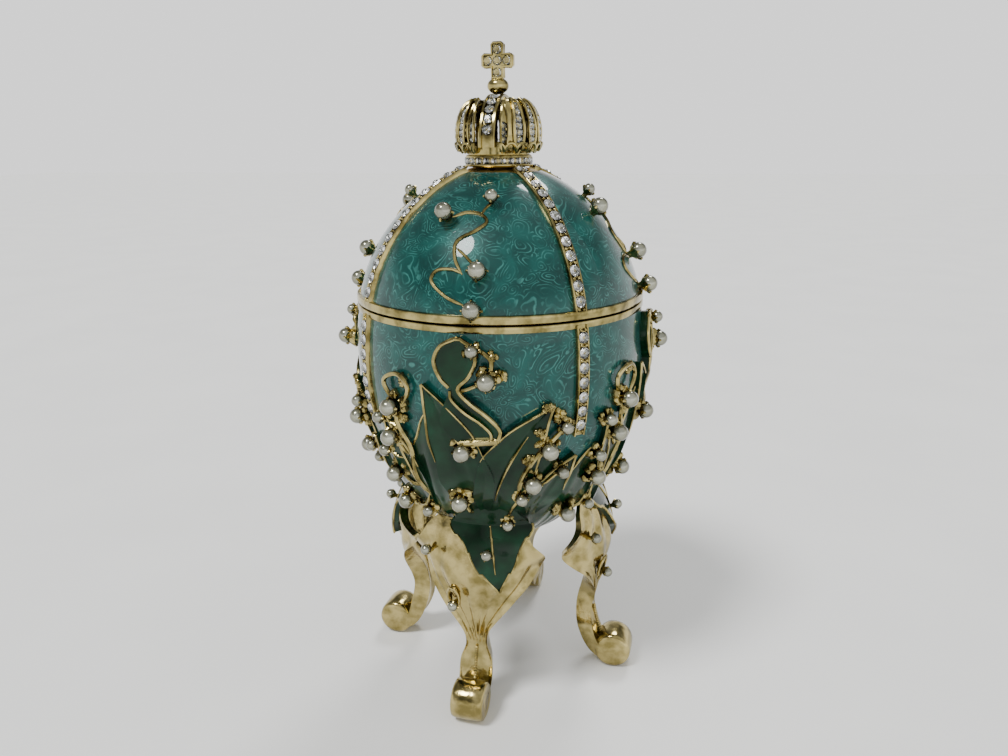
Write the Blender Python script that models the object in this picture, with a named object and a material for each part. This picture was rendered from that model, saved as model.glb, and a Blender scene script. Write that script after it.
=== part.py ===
"""Enamel egg-shaped jewelry box: a hollow egg in two halves on four cast legs, with a crown on its lid.

The egg has four alike panels between four crystal ribs. The lid lifts off a locating lip.
Units are metres, +Z is up, the floor is Z = 0, and the front panel faces -Y.
"""

import math

import bmesh
import bpy
import numpy as np
from mathutils import Vector

MM = 0.001
SIDES = ("front", "right", "back", "left")
PANEL_TURN = 2 * math.pi / len(SIDES)
HALF_PANEL = PANEL_TURN / 2

# The egg. Its seam is the joint between the lid and the base.
SEAM_HEIGHT = 91.7 * MM
SEAM_RADIUS = 31.5 * MM
LID_HEIGHT = 29.0 * MM
LID_POWER = 1.94
LID_TAPER = 0.13
BELLY_BULGE = 1.0 * MM
BELLY_DROP = 11.0 * MM
BASE_DEPTH = 57.0 * MM
WALL = 1.8 * MM
GAP = 0.3 * MM
SEGMENTS = 28
LID_ROWS = 6
BASE_ROWS = 7
LINING_ROWS = 4
MERIDIAN_STEPS = 400

# The rim: a gold band on each half, and the lip that the lid drops over.
BAND_OUT = 0.6 * MM
LID_BAND_HEIGHT = 1.6 * MM
BASE_BAND_HEIGHT = 1.3 * MM
BAND_SLOPE = 0.3 * MM
LIP_HEIGHT = 1.5 * MM
LIP_WALL = 1.1 * MM
LIP_DEPTH = 3.0 * MM
LIP_SLOPE = 1.6 * MM
LIP_ROOM = LIP_HEIGHT + 2 * GAP

# The ribs: each is a bar with a sunk channel for its row of crystals.
RIB_HALF_WIDTH = 1.35 * MM
RIB_OUT = 0.8 * MM
CHANNEL_OUT = 0.4 * MM
RIB_SINK = 0.9 * MM
BASE_RIB_LENGTH = 24.0 * MM
RIB_STATIONS = 5

# Cast ornament: leaves, stems and the cups that hold the pearls.
LEAF_OUT = 1.3 * MM
LEAF_SINK = 0.9 * MM
LEAF_END_WIDTH = 0.5 * MM
LEAF_FOOT_SHARE = 0.12
LEAF_STATIONS = 5
STEM_OUT = 0.65 * MM
STEM_FOOT_HALF_WIDTH = 0.9 * MM
STEM_STATIONS = 6
CUP_FOOT_RADIUS = 1.2 * MM
CUP_MOUTH_RADIUS = 1.8 * MM
CUP_SIDES = 4
CUP_HEIGHT = 0.8 * MM
TALL_CUP_HEIGHT = 1.8 * MM
PEARL_DIAMETER = 3.6 * MM
SMALL_PEARL_DIAMETER = 2.6 * MM
PEARL_SEGMENTS = 5
PEARL_RINGS = 4

# Places on one panel. Across is a share of the half panel, from -1 at the left rib to 1 at the
# right one. Run is measured along the surface from the seam, down the base and up the lid.
LID_PEARLS = (
    # name, across, run, diameter, cup height
    ("band", 0.13, 2.7 * MM, PEARL_DIAMETER, CUP_HEIGHT),
    ("low", 0.16, 9.8 * MM, PEARL_DIAMETER, CUP_HEIGHT),
    ("high", -0.27, 21.5 * MM, PEARL_DIAMETER, CUP_HEIGHT),
    ("top", 0.24, 26.0 * MM, SMALL_PEARL_DIAMETER, CUP_HEIGHT),
)
BASE_PEARLS = (
    ("crook", 0.24, 10.0 * MM, PEARL_DIAMETER, TALL_CUP_HEIGHT),
    ("heart", 0.04, 25.0 * MM, PEARL_DIAMETER, CUP_HEIGHT),
    ("root", -0.05, 38.5 * MM, PEARL_DIAMETER, CUP_HEIGHT),
    ("left_high", -0.56, 17.5 * MM, PEARL_DIAMETER, CUP_HEIGHT),
    ("left_mid", -0.62, 24.5 * MM, PEARL_DIAMETER, CUP_HEIGHT),
    ("left_low", -0.74, 34.5 * MM, PEARL_DIAMETER, CUP_HEIGHT),
    ("left_foot", -0.92, 44.5 * MM, PEARL_DIAMETER, CUP_HEIGHT),
    ("right_high", 0.71, 25.0 * MM, PEARL_DIAMETER, CUP_HEIGHT),
    ("right_low", 0.60, 33.0 * MM, PEARL_DIAMETER, CUP_HEIGHT),
)
LEAVES = (
    # foot (across, run), tip (across, run), width, sideways bow, where along it is fullest
    ((0.02, 46.0 * MM), (-0.27, 12.0 * MM), 11.5 * MM, -2.5 * MM, 0.45),
    ((0.24, 46.0 * MM), (0.74, 16.0 * MM), 11.0 * MM, 2.5 * MM, 0.45),
    ((0.16, 31.0 * MM), (0.02, 2.5 * MM), 8.5 * MM, 2.0 * MM, 0.6),
    ((-0.52, 45.0 * MM), (-0.72, 20.0 * MM), 6.5 * MM, -1.0 * MM, 0.5),
    ((0.68, 45.0 * MM), (0.98, 28.0 * MM), 7.0 * MM, 1.0 * MM, 0.45),
)
BASE_STEMS = (
    # foot (across, run), tip (across, run), sideways bow
    ((-0.46, 40.0 * MM), (-0.54, 14.0 * MM), 2.5 * MM),
    ((0.54, 38.0 * MM), (0.78, 20.0 * MM), -2.5 * MM),
)
LID_STEM_FOOT = (0.06, 3.0 * MM)
LID_STEM_TOP = (-0.16, 22.0 * MM)
LID_STEM_SWING = 0.17
LID_STEM_STATIONS = 8

# The legs: a leaf-like flare under the egg, a knee, an ankle and a foot that ends in a scroll.
LEG_TOP_RUN = 48.0 * MM
KNEE_REACH = SEAM_RADIUS - 5.2 * MM
ANKLE_REACH = SEAM_RADIUS - 10.1 * MM
FOOT_REACH = SEAM_RADIUS - 2.9 * MM
FLARE_HALF_WIDTH = 16.5 * MM
FLARE_BEND = 13.4 * MM
FLARE_THICKNESS = 2.2 * MM
FLARE_EDGE = 1.2 * MM
ANKLE_HALF_WIDTH = 2.2 * MM
ANKLE_THICKNESS = 4.0 * MM
FOOT_HALF_WIDTH = 3.8 * MM
FOOT_THICKNESS = 3.4 * MM
FLUTE_DEPTH = 0.5 * MM
LEG_STATIONS = 12
LEG_TOP_POINTS = 7
LEG_BACK_SHARE = 0.96
SCROLL_RADIUS = 4.6 * MM
SCROLL_SIDES = 10
SCROLL_RIM = 0.8
CONTACT_FLAT = 0.3 * MM
LEG_LEAF_WIDTH = 13.0 * MM
LEG_LEAF_OUT = 0.8 * MM
LEG_LEAF_LEAN = 5.0 * MM
LEG_LEAF_ROWS = 4
LEG_KNOTS = (
    # how far it has turned in to the ankle, share of the flare's height, half width, thickness
    (0.00, 0.75, FLARE_HALF_WIDTH, FLARE_THICKNESS),
    (0.25, 0.61, 0.55 * FLARE_HALF_WIDTH, FLARE_THICKNESS),
    (0.75, 0.46, 1.5 * ANKLE_HALF_WIDTH, ANKLE_THICKNESS),
    (1.00, 0.34, ANKLE_HALF_WIDTH, ANKLE_THICKNESS),
)
FOOT_KNOTS = (
    # how far it has stepped out to the foot, share of the flare's height, half width, thickness
    (0.10, 0.23, 0.90 * FOOT_HALF_WIDTH, ANKLE_THICKNESS),
    (0.42, 0.11, FOOT_HALF_WIDTH, FOOT_THICKNESS),
)
BROW_KNOT = (0.50, 0.90, 0.80 * FLARE_HALF_WIDTH, FLARE_THICKNESS)
FLARE_TOP_SHARE = 0.55

# The crown, measured up from the seam.
CROWN_RING_RADIUS = 7.25 * MM
CROWN_RING_HEIGHT = 2.8 * MM
CROWN_NECK_RADIUS = 6.7 * MM
CROWN_DOME_RADIUS = 9.3 * MM
CROWN_DOME_HEIGHT = 11.4 * MM
CROWN_CREST_RADIUS = 4.2 * MM
CROWN_RIB_DEPTH = 0.35 * MM
CROWN_RIBS = 12
CROWN_ROWS = 5
CROWN_SEAT_SHARE = 0.55
CROWN_SWELL_POWER = 0.8
ARCH_HALF_WIDTH = 1.6 * MM
ARCH_THICKNESS = 1.8 * MM
ARCH_STATIONS = 9
ARCH_RISE = 0.9 * MM
ARCH_FOOT_SHARE = 0.2
SLOT_WIDTH = 1.1 * MM
SLOT_FOOT_SHARE = 0.25
ORB_RADIUS = 2.3 * MM
ORB_HALF_HEIGHT = 1.7 * MM
ORB_SEGMENTS = 9
ORB_ROWS = 5
ORB_SINK_SHARE = 0.1
CROSS_HEIGHT = 7.4 * MM
CROSS_ARM_RISE = 3.6 * MM
CROSS_SPAN = 7.0 * MM
CROSS_ARM = 2.6 * MM
CROSS_THICKNESS = 2.0 * MM

ENAMEL_TEAL = (0.014, 0.152, 0.130, 1)
GOLD = (0.72, 0.57, 0.28, 1)
PEARL_WHITE = (0.80, 0.76, 0.68, 1)


def clear_scene():
    for obj in list(bpy.data.objects):
        bpy.data.objects.remove(obj, do_unlink=True)


def material(name, colour, roughness, metallic):
    made = bpy.data.materials.new(name)
    made.use_nodes = True
    shader = made.node_tree.nodes["Principled BSDF"]
    shader.inputs["Base Color"].default_value = colour
    shader.inputs["Roughness"].default_value = roughness
    shader.inputs["Metallic"].default_value = metallic
    return made


def mesh_object(name, points, faces, finish):
    """A closed body with its faces turned outwards."""
    mesh = bpy.data.meshes.new(name)
    mesh.from_pydata([tuple(point) for point in points], [], faces)
    made = bpy.data.objects.new(name, mesh)
    bpy.context.scene.collection.objects.link(made)
    turned = bmesh.new()
    turned.from_mesh(mesh)
    bmesh.ops.recalc_face_normals(turned, faces=turned.faces)
    turned.to_mesh(mesh)
    turned.free()
    mesh.materials.append(finish)
    mesh.shade_smooth()
    mesh.set_sharp_from_angle(angle=math.radians(35))
    return made


def loft(name, sections, finish):
    """A closed body through sections of as many points each, with a flat cap at both ends."""
    count = len(sections[0])
    points = [point for section in sections for point in section]
    faces = [tuple(range(count)), tuple(range(len(points) - count, len(points)))]
    for row in range(len(sections) - 1):
        for i in range(count):
            j = (i + 1) % count
            low = row * count
            faces.append((low + i, low + j, low + count + j, low + count + i))
    return mesh_object(name, points, faces, finish)


def turned_body(name, profile, segments, finish, wave=None):
    """A body of revolution from (radius, height) pairs. A pair with no radius becomes one pole point."""
    points, rows = [], []
    for radius, height in profile:
        pole = radius < 1e-6
        rows.append(range(len(points), len(points) + (1 if pole else segments)))
        for i in range(len(rows[-1])):
            angle = 2 * math.pi * i / segments
            reach = radius + (wave(i, height) if wave else 0)
            points.append(around_axis(angle, 0 if pole else reach, height))
    faces = []
    for lower, upper in zip(rows, rows[1:] + ([] if len(rows[0]) == 1 else [rows[0]])):
        for i in range(segments):
            j = (i + 1) % segments
            if len(lower) == 1:
                faces.append((lower[0], upper[j], upper[i]))
            elif len(upper) == 1:
                faces.append((lower[i], lower[j], upper[0]))
            else:
                faces.append((lower[i], lower[j], upper[j], upper[i]))
    return mesh_object(name, points, faces, finish)


def around_axis(angle, radius, height):
    """A point by its angle from the front, positive towards +X."""
    return Vector((radius * math.sin(angle), -radius * math.cos(angle), height))


def boolean(body, helpers, operation):
    """Joins or cuts the helpers, which stay hidden, in one Boolean."""
    group = bpy.data.collections.new(f"{body.name}_{operation.lower()}")
    bpy.context.scene.collection.children.link(group)
    for helper in helpers:
        bpy.context.scene.collection.objects.unlink(helper)
        group.objects.link(helper)
        helper.hide_render = True
        helper.display_type = "WIRE"
    modifier = body.modifiers.new(operation.lower(), "BOOLEAN")
    modifier.operation = operation
    modifier.operand_type = "COLLECTION"
    modifier.collection = group
    modifier.solver = "EXACT"
    modifier.use_self = operation == "UNION"


def lid_radius(rise):
    share = np.clip(rise / LID_HEIGHT, 0, 1)
    return SEAM_RADIUS * (1 - share**2) ** (1 / LID_POWER) * (1 - LID_TAPER * share)


def base_radius(drop):
    belly = SEAM_RADIUS + BELLY_BULGE
    upper = belly - BELLY_BULGE * (1 - drop / BELLY_DROP) ** 2
    share = np.clip((drop - BELLY_DROP) / (BASE_DEPTH - BELLY_DROP), 0, 1)
    return np.where(drop < BELLY_DROP, upper, belly * np.sqrt(1 - share**2))


def meridian_of_egg():
    """Run from the seam (down is positive), radius and height of the outer surface, top to bottom."""
    turn = np.linspace(0, math.pi / 2, MERIDIAN_STEPS)
    rise = LID_HEIGHT * np.cos(turn)[:-1]
    drop = BASE_DEPTH * np.sin(turn)
    radius = np.concatenate([lid_radius(rise), base_radius(drop)])
    height = SEAM_HEIGHT + np.concatenate([rise, -drop])
    run = np.concatenate([[0], np.cumsum(np.hypot(np.diff(radius), np.diff(height)))])
    return run - run[len(rise)], radius, height


RUN, RADIUS, HEIGHT = meridian_of_egg()
NORMAL_OUT = -np.gradient(HEIGHT, RUN)
NORMAL_UP = np.gradient(RADIUS, RUN)


def meridian_point(run, out=0.0):
    """Radius and height of a place on the egg's outline, out from the surface along its normal."""
    slope = (np.interp(run, RUN, NORMAL_OUT), np.interp(run, RUN, NORMAL_UP))
    length = math.hypot(*slope)
    radius = np.interp(run, RUN, RADIUS) + out * slope[0] / length
    return float(radius), float(np.interp(run, RUN, HEIGHT) + out * slope[1] / length)


def on_egg(angle, run, out=0.0):
    return around_axis(angle, *meridian_point(run, out))


def beside(place, aside, along):
    """The place moved over the surface: aside around the egg, along down its outline."""
    angle, run = place
    return angle + aside / max(meridian_point(run)[0], WALL), run + along


def bowed_path(foot, tip, bow, stations):
    """Places from foot to tip, bowed sideways, each with the direction that leads to the tip."""
    reach = (meridian_point(foot[1])[0] + meridian_point(tip[1])[0]) / 2
    step = Vector(((tip[0] - foot[0]) * reach, tip[1] - foot[1]))
    side = Vector((step.y, -step.x)).normalized()
    path = []
    for i in range(stations):
        share = i / (stations - 1)
        shift = 4 * bow * share * (1 - share)
        angle = foot[0] + (tip[0] - foot[0]) * share + side.x * shift / reach
        run = foot[1] + (tip[1] - foot[1]) * share + side.y * shift
        heading = (step + side * 4 * bow * (1 - 2 * share)).normalized()
        path.append(((angle, run), heading, share))
    return path


def panel_place(side, across, run):
    """The (angle, run) on the egg of a place on one panel."""
    return side * PANEL_TURN + across * HALF_PANEL, run


def leaf(name, foot, tip, width, bow, fullest, finish):
    """A pointed leaf lying on the egg, proudest along its edges because its face is flat across."""
    sections = []
    taper = math.log(0.5) / math.log(LEAF_FOOT_SHARE + (1 - LEAF_FOOT_SHARE) * fullest)
    for place, heading, share in bowed_path(foot, tip, bow, LEAF_STATIONS):
        swell = math.sin(math.pi * (LEAF_FOOT_SHARE + (1 - LEAF_FOOT_SHARE) * share) ** taper)
        half = max(width / 2 * swell, LEAF_END_WIDTH / 2)
        side = Vector((heading.y, -heading.x))
        outs = ((-half, -LEAF_SINK), (-half, LEAF_OUT), (half, LEAF_OUT), (half, -LEAF_SINK))
        sections.append([on_egg(*beside(place, side.x * at, side.y * at), out) for at, out in outs])
    return loft(name, sections, finish)


def wire(name, places, finish):
    """A stem lying on the egg: a ridge whose foot is sunk into the shell."""
    sections = []
    for i, place in enumerate(places):
        before, after = places[max(i - 1, 0)], places[min(i + 1, len(places) - 1)]
        reach = meridian_point(place[1])[0]
        heading = Vector(((after[0] - before[0]) * reach, after[1] - before[1])).normalized()
        side = Vector((heading.y, -heading.x))
        foot = STEM_FOOT_HALF_WIDTH
        outs = ((0, STEM_OUT), (-foot, -LEAF_SINK), (foot, -LEAF_SINK))
        sections.append([on_egg(*beside(place, side.x * at, side.y * at), out) for at, out in outs])
    return loft(name, sections, finish)


def stem(name, foot, tip, bow, finish):
    path = bowed_path(foot, tip, bow, STEM_STATIONS)
    return wire(name, [place for place, _, _ in path], finish)


def lid_stem(name, side, finish):
    """One S-curve from the band up to the highest pearl."""
    places = []
    for i in range(LID_STEM_STATIONS):
        share = i / (LID_STEM_STATIONS - 1)
        across = LID_STEM_FOOT[0] + (LID_STEM_TOP[0] - LID_STEM_FOOT[0]) * share
        across += LID_STEM_SWING * math.sin(2 * math.pi * (share - 0.5))
        run = LID_STEM_FOOT[1] + (LID_STEM_TOP[1] - LID_STEM_FOOT[1]) * share
        places.append(panel_place(side, across, -run))
    return wire(name, places, finish)


def cup(name, place, height, diameter, finish):
    """The small cup that a pearl sits in."""
    size = diameter / PEARL_DIAMETER
    sections = []
    for radius, out in ((CUP_FOOT_RADIUS, -LEAF_SINK), (CUP_MOUTH_RADIUS, height)):
        section = []
        for k in range(CUP_SIDES):
            turn = 2 * math.pi * k / CUP_SIDES
            at, along = radius * size * math.cos(turn), radius * size * math.sin(turn)
            section.append(on_egg(*beside(place, at, along), out))
        sections.append(section)
    return loft(name, sections, finish)


def pearl(name, place, diameter, cup_height, finish):
    """A pearl held a gap clear of its cup's mouth."""
    centre = on_egg(*place, cup_height + GAP + diameter / 2)
    axis = (centre - on_egg(*place)).normalized()
    aside = axis.cross(Vector((0, 0, 1))).normalized()
    upward = aside.cross(axis)
    points, faces = [centre - axis * diameter / 2], []
    for ring in range(1, PEARL_RINGS):
        tilt = math.pi * ring / PEARL_RINGS
        for i in range(PEARL_SEGMENTS):
            turn = 2 * math.pi * i / PEARL_SEGMENTS
            flat = aside * math.cos(turn) + upward * math.sin(turn)
            points.append(centre + (flat * math.sin(tilt) - axis * math.cos(tilt)) * diameter / 2)
    points.append(centre + axis * diameter / 2)
    for i in range(PEARL_SEGMENTS):
        j = (i + 1) % PEARL_SEGMENTS
        faces.append((0, 1 + i, 1 + j))
        for ring in range(PEARL_RINGS - 2):
            low = 1 + ring * PEARL_SEGMENTS
            faces.append((low + i, low + PEARL_SEGMENTS + i, low + PEARL_SEGMENTS + j, low + j))
        last = len(points) - 1 - PEARL_SEGMENTS
        faces.append((last + i, len(points) - 1, last + j))
    return mesh_object(name, points, faces, finish)


def rib(name, angle, start, end, finish):
    """A bar down the egg with a sunk channel for its row of crystals."""
    sections = []
    for i in range(RIB_STATIONS):
        place = (angle, start + (end - start) * i / (RIB_STATIONS - 1))
        outs = (
            (-RIB_HALF_WIDTH, -RIB_SINK),
            (-RIB_HALF_WIDTH, RIB_OUT),
            (0, CHANNEL_OUT),
            (RIB_HALF_WIDTH, RIB_OUT),
            (RIB_HALF_WIDTH, -RIB_SINK),
        )
        sections.append([on_egg(*beside(place, at, 0), out) for at, out in outs])
    return loft(name, sections, finish)


def outline_rows(start, end, rows, out=0.0):
    """Radius and height pairs along the egg from start to just before its pole at end."""
    return [meridian_point(run, out) for run in np.linspace(start, end, rows + 1)[:-1]]


def lid_shell(finish):
    """The upper half, open below, with its band, ribs, stems and cups cast on."""
    bottom = SEAM_HEIGHT + GAP / 2
    band_radius = SEAM_RADIUS + BAND_OUT
    lining = outline_rows(-LIP_ROOM, RUN[0], LINING_ROWS, -WALL)
    profile = [
        (0, SEAM_HEIGHT + LID_HEIGHT - WALL),
        *reversed(lining),
        (meridian_point(0, -WALL)[0], bottom),
        (band_radius, bottom),
        (band_radius, SEAM_HEIGHT + LID_BAND_HEIGHT),
        *outline_rows(-LID_BAND_HEIGHT - BAND_SLOPE, RUN[0], LID_ROWS),
        (0, SEAM_HEIGHT + LID_HEIGHT),
    ]
    shell = turned_body("lid_shell", profile, SEGMENTS, finish)
    cast = []
    rib_start = -LID_BAND_HEIGHT / 2
    rib_end = crown_run() + RIB_HALF_WIDTH
    for side in range(len(SIDES)):
        cast.append(rib(f"lid_rib_{side}", (side + 0.5) * PANEL_TURN, rib_start, rib_end, finish))
        cast.append(lid_stem(f"lid_stem_{side}", side, finish))
        for label, across, run, diameter, height in LID_PEARLS:
            place = panel_place(side, across, -run)
            cast.append(cup(f"lid_cup_{side}_{label}", place, height, diameter, finish))
    boolean(shell, cast, "UNION")
    return shell


def base_shell(finish):
    """The lower half, open above, with its lip, band, ribs, leaves, stems and cups cast on."""
    top = SEAM_HEIGHT - GAP / 2
    band_radius = SEAM_RADIUS + BAND_OUT
    lip_radius = meridian_point(-LIP_ROOM, -WALL)[0] - GAP
    lip_bore = lip_radius - LIP_WALL
    profile = [
        (0, SEAM_HEIGHT - BASE_DEPTH),
        *reversed(outline_rows(BASE_BAND_HEIGHT + BAND_SLOPE, RUN[-1], BASE_ROWS)),
        (band_radius, SEAM_HEIGHT - BASE_BAND_HEIGHT),
        (band_radius, top),
        (lip_radius, top),
        (lip_radius, SEAM_HEIGHT + LIP_HEIGHT),
        (lip_bore, SEAM_HEIGHT + LIP_HEIGHT),
        (lip_bore, SEAM_HEIGHT - LIP_DEPTH),
        *outline_rows(LIP_DEPTH + LIP_SLOPE, RUN[-1], LINING_ROWS, -WALL),
        (0, SEAM_HEIGHT - BASE_DEPTH + WALL),
    ]
    shell = turned_body("base_shell", profile, SEGMENTS, finish)
    cast = []
    for side in range(len(SIDES)):
        angle = (side + 0.5) * PANEL_TURN
        cast.append(rib(f"base_rib_{side}", angle, BASE_BAND_HEIGHT / 2, BASE_RIB_LENGTH, finish))
        for n, (foot, tip, *form) in enumerate(LEAVES):
            ends = panel_place(side, *foot), panel_place(side, *tip)
            cast.append(leaf(f"leaf_{side}_{n}", *ends, *form, finish))
        for n, (foot, tip, bow) in enumerate(BASE_STEMS):
            ends = panel_place(side, *foot), panel_place(side, *tip)
            cast.append(stem(f"stem_{side}_{n}", *ends, bow, finish))
        for label, across, run, diameter, height in BASE_PEARLS:
            place = panel_place(side, across, run)
            cast.append(cup(f"base_cup_{side}_{label}", place, height, diameter, finish))
    boolean(shell, cast, "UNION")
    return shell


def crown_run():
    """Where the crown's ring meets the lid, as a run up from the seam, so it is negative."""
    upper = RUN < 0
    return float(np.interp(CROWN_RING_RADIUS, RADIUS[upper], RUN[upper]))


def smooth_path(knots, stations):
    """Rows of numbers along a Catmull-Rom curve through the knots."""
    ends = [2 * knots[0] - knots[1], *knots, 2 * knots[-1] - knots[-2]]
    rows = []
    for i in range(stations):
        spot = i / (stations - 1) * (len(knots) - 1)
        k = min(int(spot), len(knots) - 2)
        t = spot - k
        a, b, c, d = ends[k : k + 4]
        rows.append(0.5 * (2 * b + (c - a) * t + (2 * a - 5 * b + 4 * c - d) * t**2
                           + (3 * b - a - 3 * c + d) * t**3))
    return rows


def leg_line():
    """Rows down the leg, from the flare's top to the scroll.

    Each gives the reach from the egg's axis, the height, the half width, the thickness and the
    radius that the width bends round.
    """
    top_reach, top = meridian_point(LEG_TOP_RUN, GAP + FLARE_EDGE / 2)
    share, rise, half, thickness = BROW_KNOT
    brow_reach = top_reach + share * (KNEE_REACH - top_reach)
    knots = [
        (top_reach, top, FLARE_TOP_SHARE * FLARE_HALF_WIDTH, FLARE_EDGE, top_reach),
        (brow_reach, rise * top, half, thickness, brow_reach),
    ]
    spans = ((KNEE_REACH, ANKLE_REACH, LEG_KNOTS), (ANKLE_REACH, FOOT_REACH, FOOT_KNOTS))
    for start, end, rows in spans:
        for share, rise, half, thickness in rows:
            knots.append((start + share * (end - start), rise * top, half, thickness, FLARE_BEND))
    floor = FOOT_THICKNESS / 2 + CONTACT_FLAT
    knots.append((FOOT_REACH, floor, FOOT_HALF_WIDTH, FOOT_THICKNESS, FLARE_BEND))
    return smooth_path([np.array(knot) for knot in knots], LEG_STATIONS)


def leg_normal(rows, i):
    """The unit normal, in reach and height, that points away from the egg at one row."""
    before, after = rows[max(i - 1, 0)], rows[min(i + 1, len(rows) - 1)]
    step = after[:2] - before[:2]
    return np.array((-step[1], step[0])) / np.hypot(*step)


def leg_point(turn, row, normal, at, proud):
    """A place on a leg: at is measured across its width, proud along its normal."""
    reach, height, _, _, bend = row
    radius = bend + normal[0] * proud
    swing = at / bend
    forward = reach - bend + radius * math.cos(swing)
    aside = radius * math.sin(swing)
    middle = around_axis(turn, forward, height + normal[1] * proud)
    return middle + around_axis(turn + math.pi / 2, aside, 0)


def leg(side, finish):
    """A cast leg: fluted flare, knee, ankle and a foot rolled into a scroll that stands on a flat."""
    turn = side * PANEL_TURN
    rows = leg_line()
    sections, leaf_sections = [], []
    for i, row in enumerate(rows):
        normal = leg_normal(rows, i)
        half, thickness = row[2], row[3]
        fade = min(1, i / 2)
        section = []
        for k in range(LEG_TOP_POINTS):
            flute = FLUTE_DEPTH * fade * (k % 2)
            at = half * (1 - 2 * k / (LEG_TOP_POINTS - 1))
            section.append(leg_point(turn, row, normal, at, thickness / 2 - flute))
        for at in (-LEG_BACK_SHARE * half, 0, LEG_BACK_SHARE * half):
            section.append(leg_point(turn, row, normal, at, -thickness / 2))
        sections.append(section)
        share = (i - 1) / LEG_LEAF_ROWS
        if 0 <= share <= 1:
            wide = LEG_LEAF_WIDTH / 2 * max(1 - share**1.5, LEAF_END_WIDTH / LEG_LEAF_WIDTH)
            middle = LEG_LEAF_LEAN * share
            proud = thickness / 2 + LEG_LEAF_OUT
            outs = ((-wide, 0), (-wide, proud), (0, proud - FLUTE_DEPTH), (wide, proud), (wide, 0))
            leaf_sections.append(
                [leg_point(turn, row, normal, middle + at, out) for at, out in outs]
            )
    body = loft(f"leg_{SIDES[side]}", sections, finish)
    blade = loft(f"leg_leaf_{SIDES[side]}", leaf_sections, finish)
    boolean(body, [scroll(side, turn, finish), blade], "UNION")
    return body


def scroll(side, turn, finish):
    """The rolled end of a foot, with the flat that it stands on."""
    sections = []
    for across, size in ((-1, SCROLL_RIM), (-SCROLL_RIM, 1), (SCROLL_RIM, 1), (1, SCROLL_RIM)):
        aside = around_axis(turn + math.pi / 2, FOOT_HALF_WIDTH * across, 0)
        section = []
        for k in range(SCROLL_SIDES):
            roll = 1.5 * math.pi + 2 * math.pi * (k + 0.5) / SCROLL_SIDES
            reach = FOOT_REACH + SCROLL_RADIUS * size * math.cos(roll)
            height = max(SCROLL_RADIUS * (1 + size * math.sin(roll)) - CONTACT_FLAT, 0)
            section.append(around_axis(turn, reach, height) + aside)
        sections.append(section)
    return loft(f"scroll_{SIDES[side]}", sections, finish)


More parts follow.
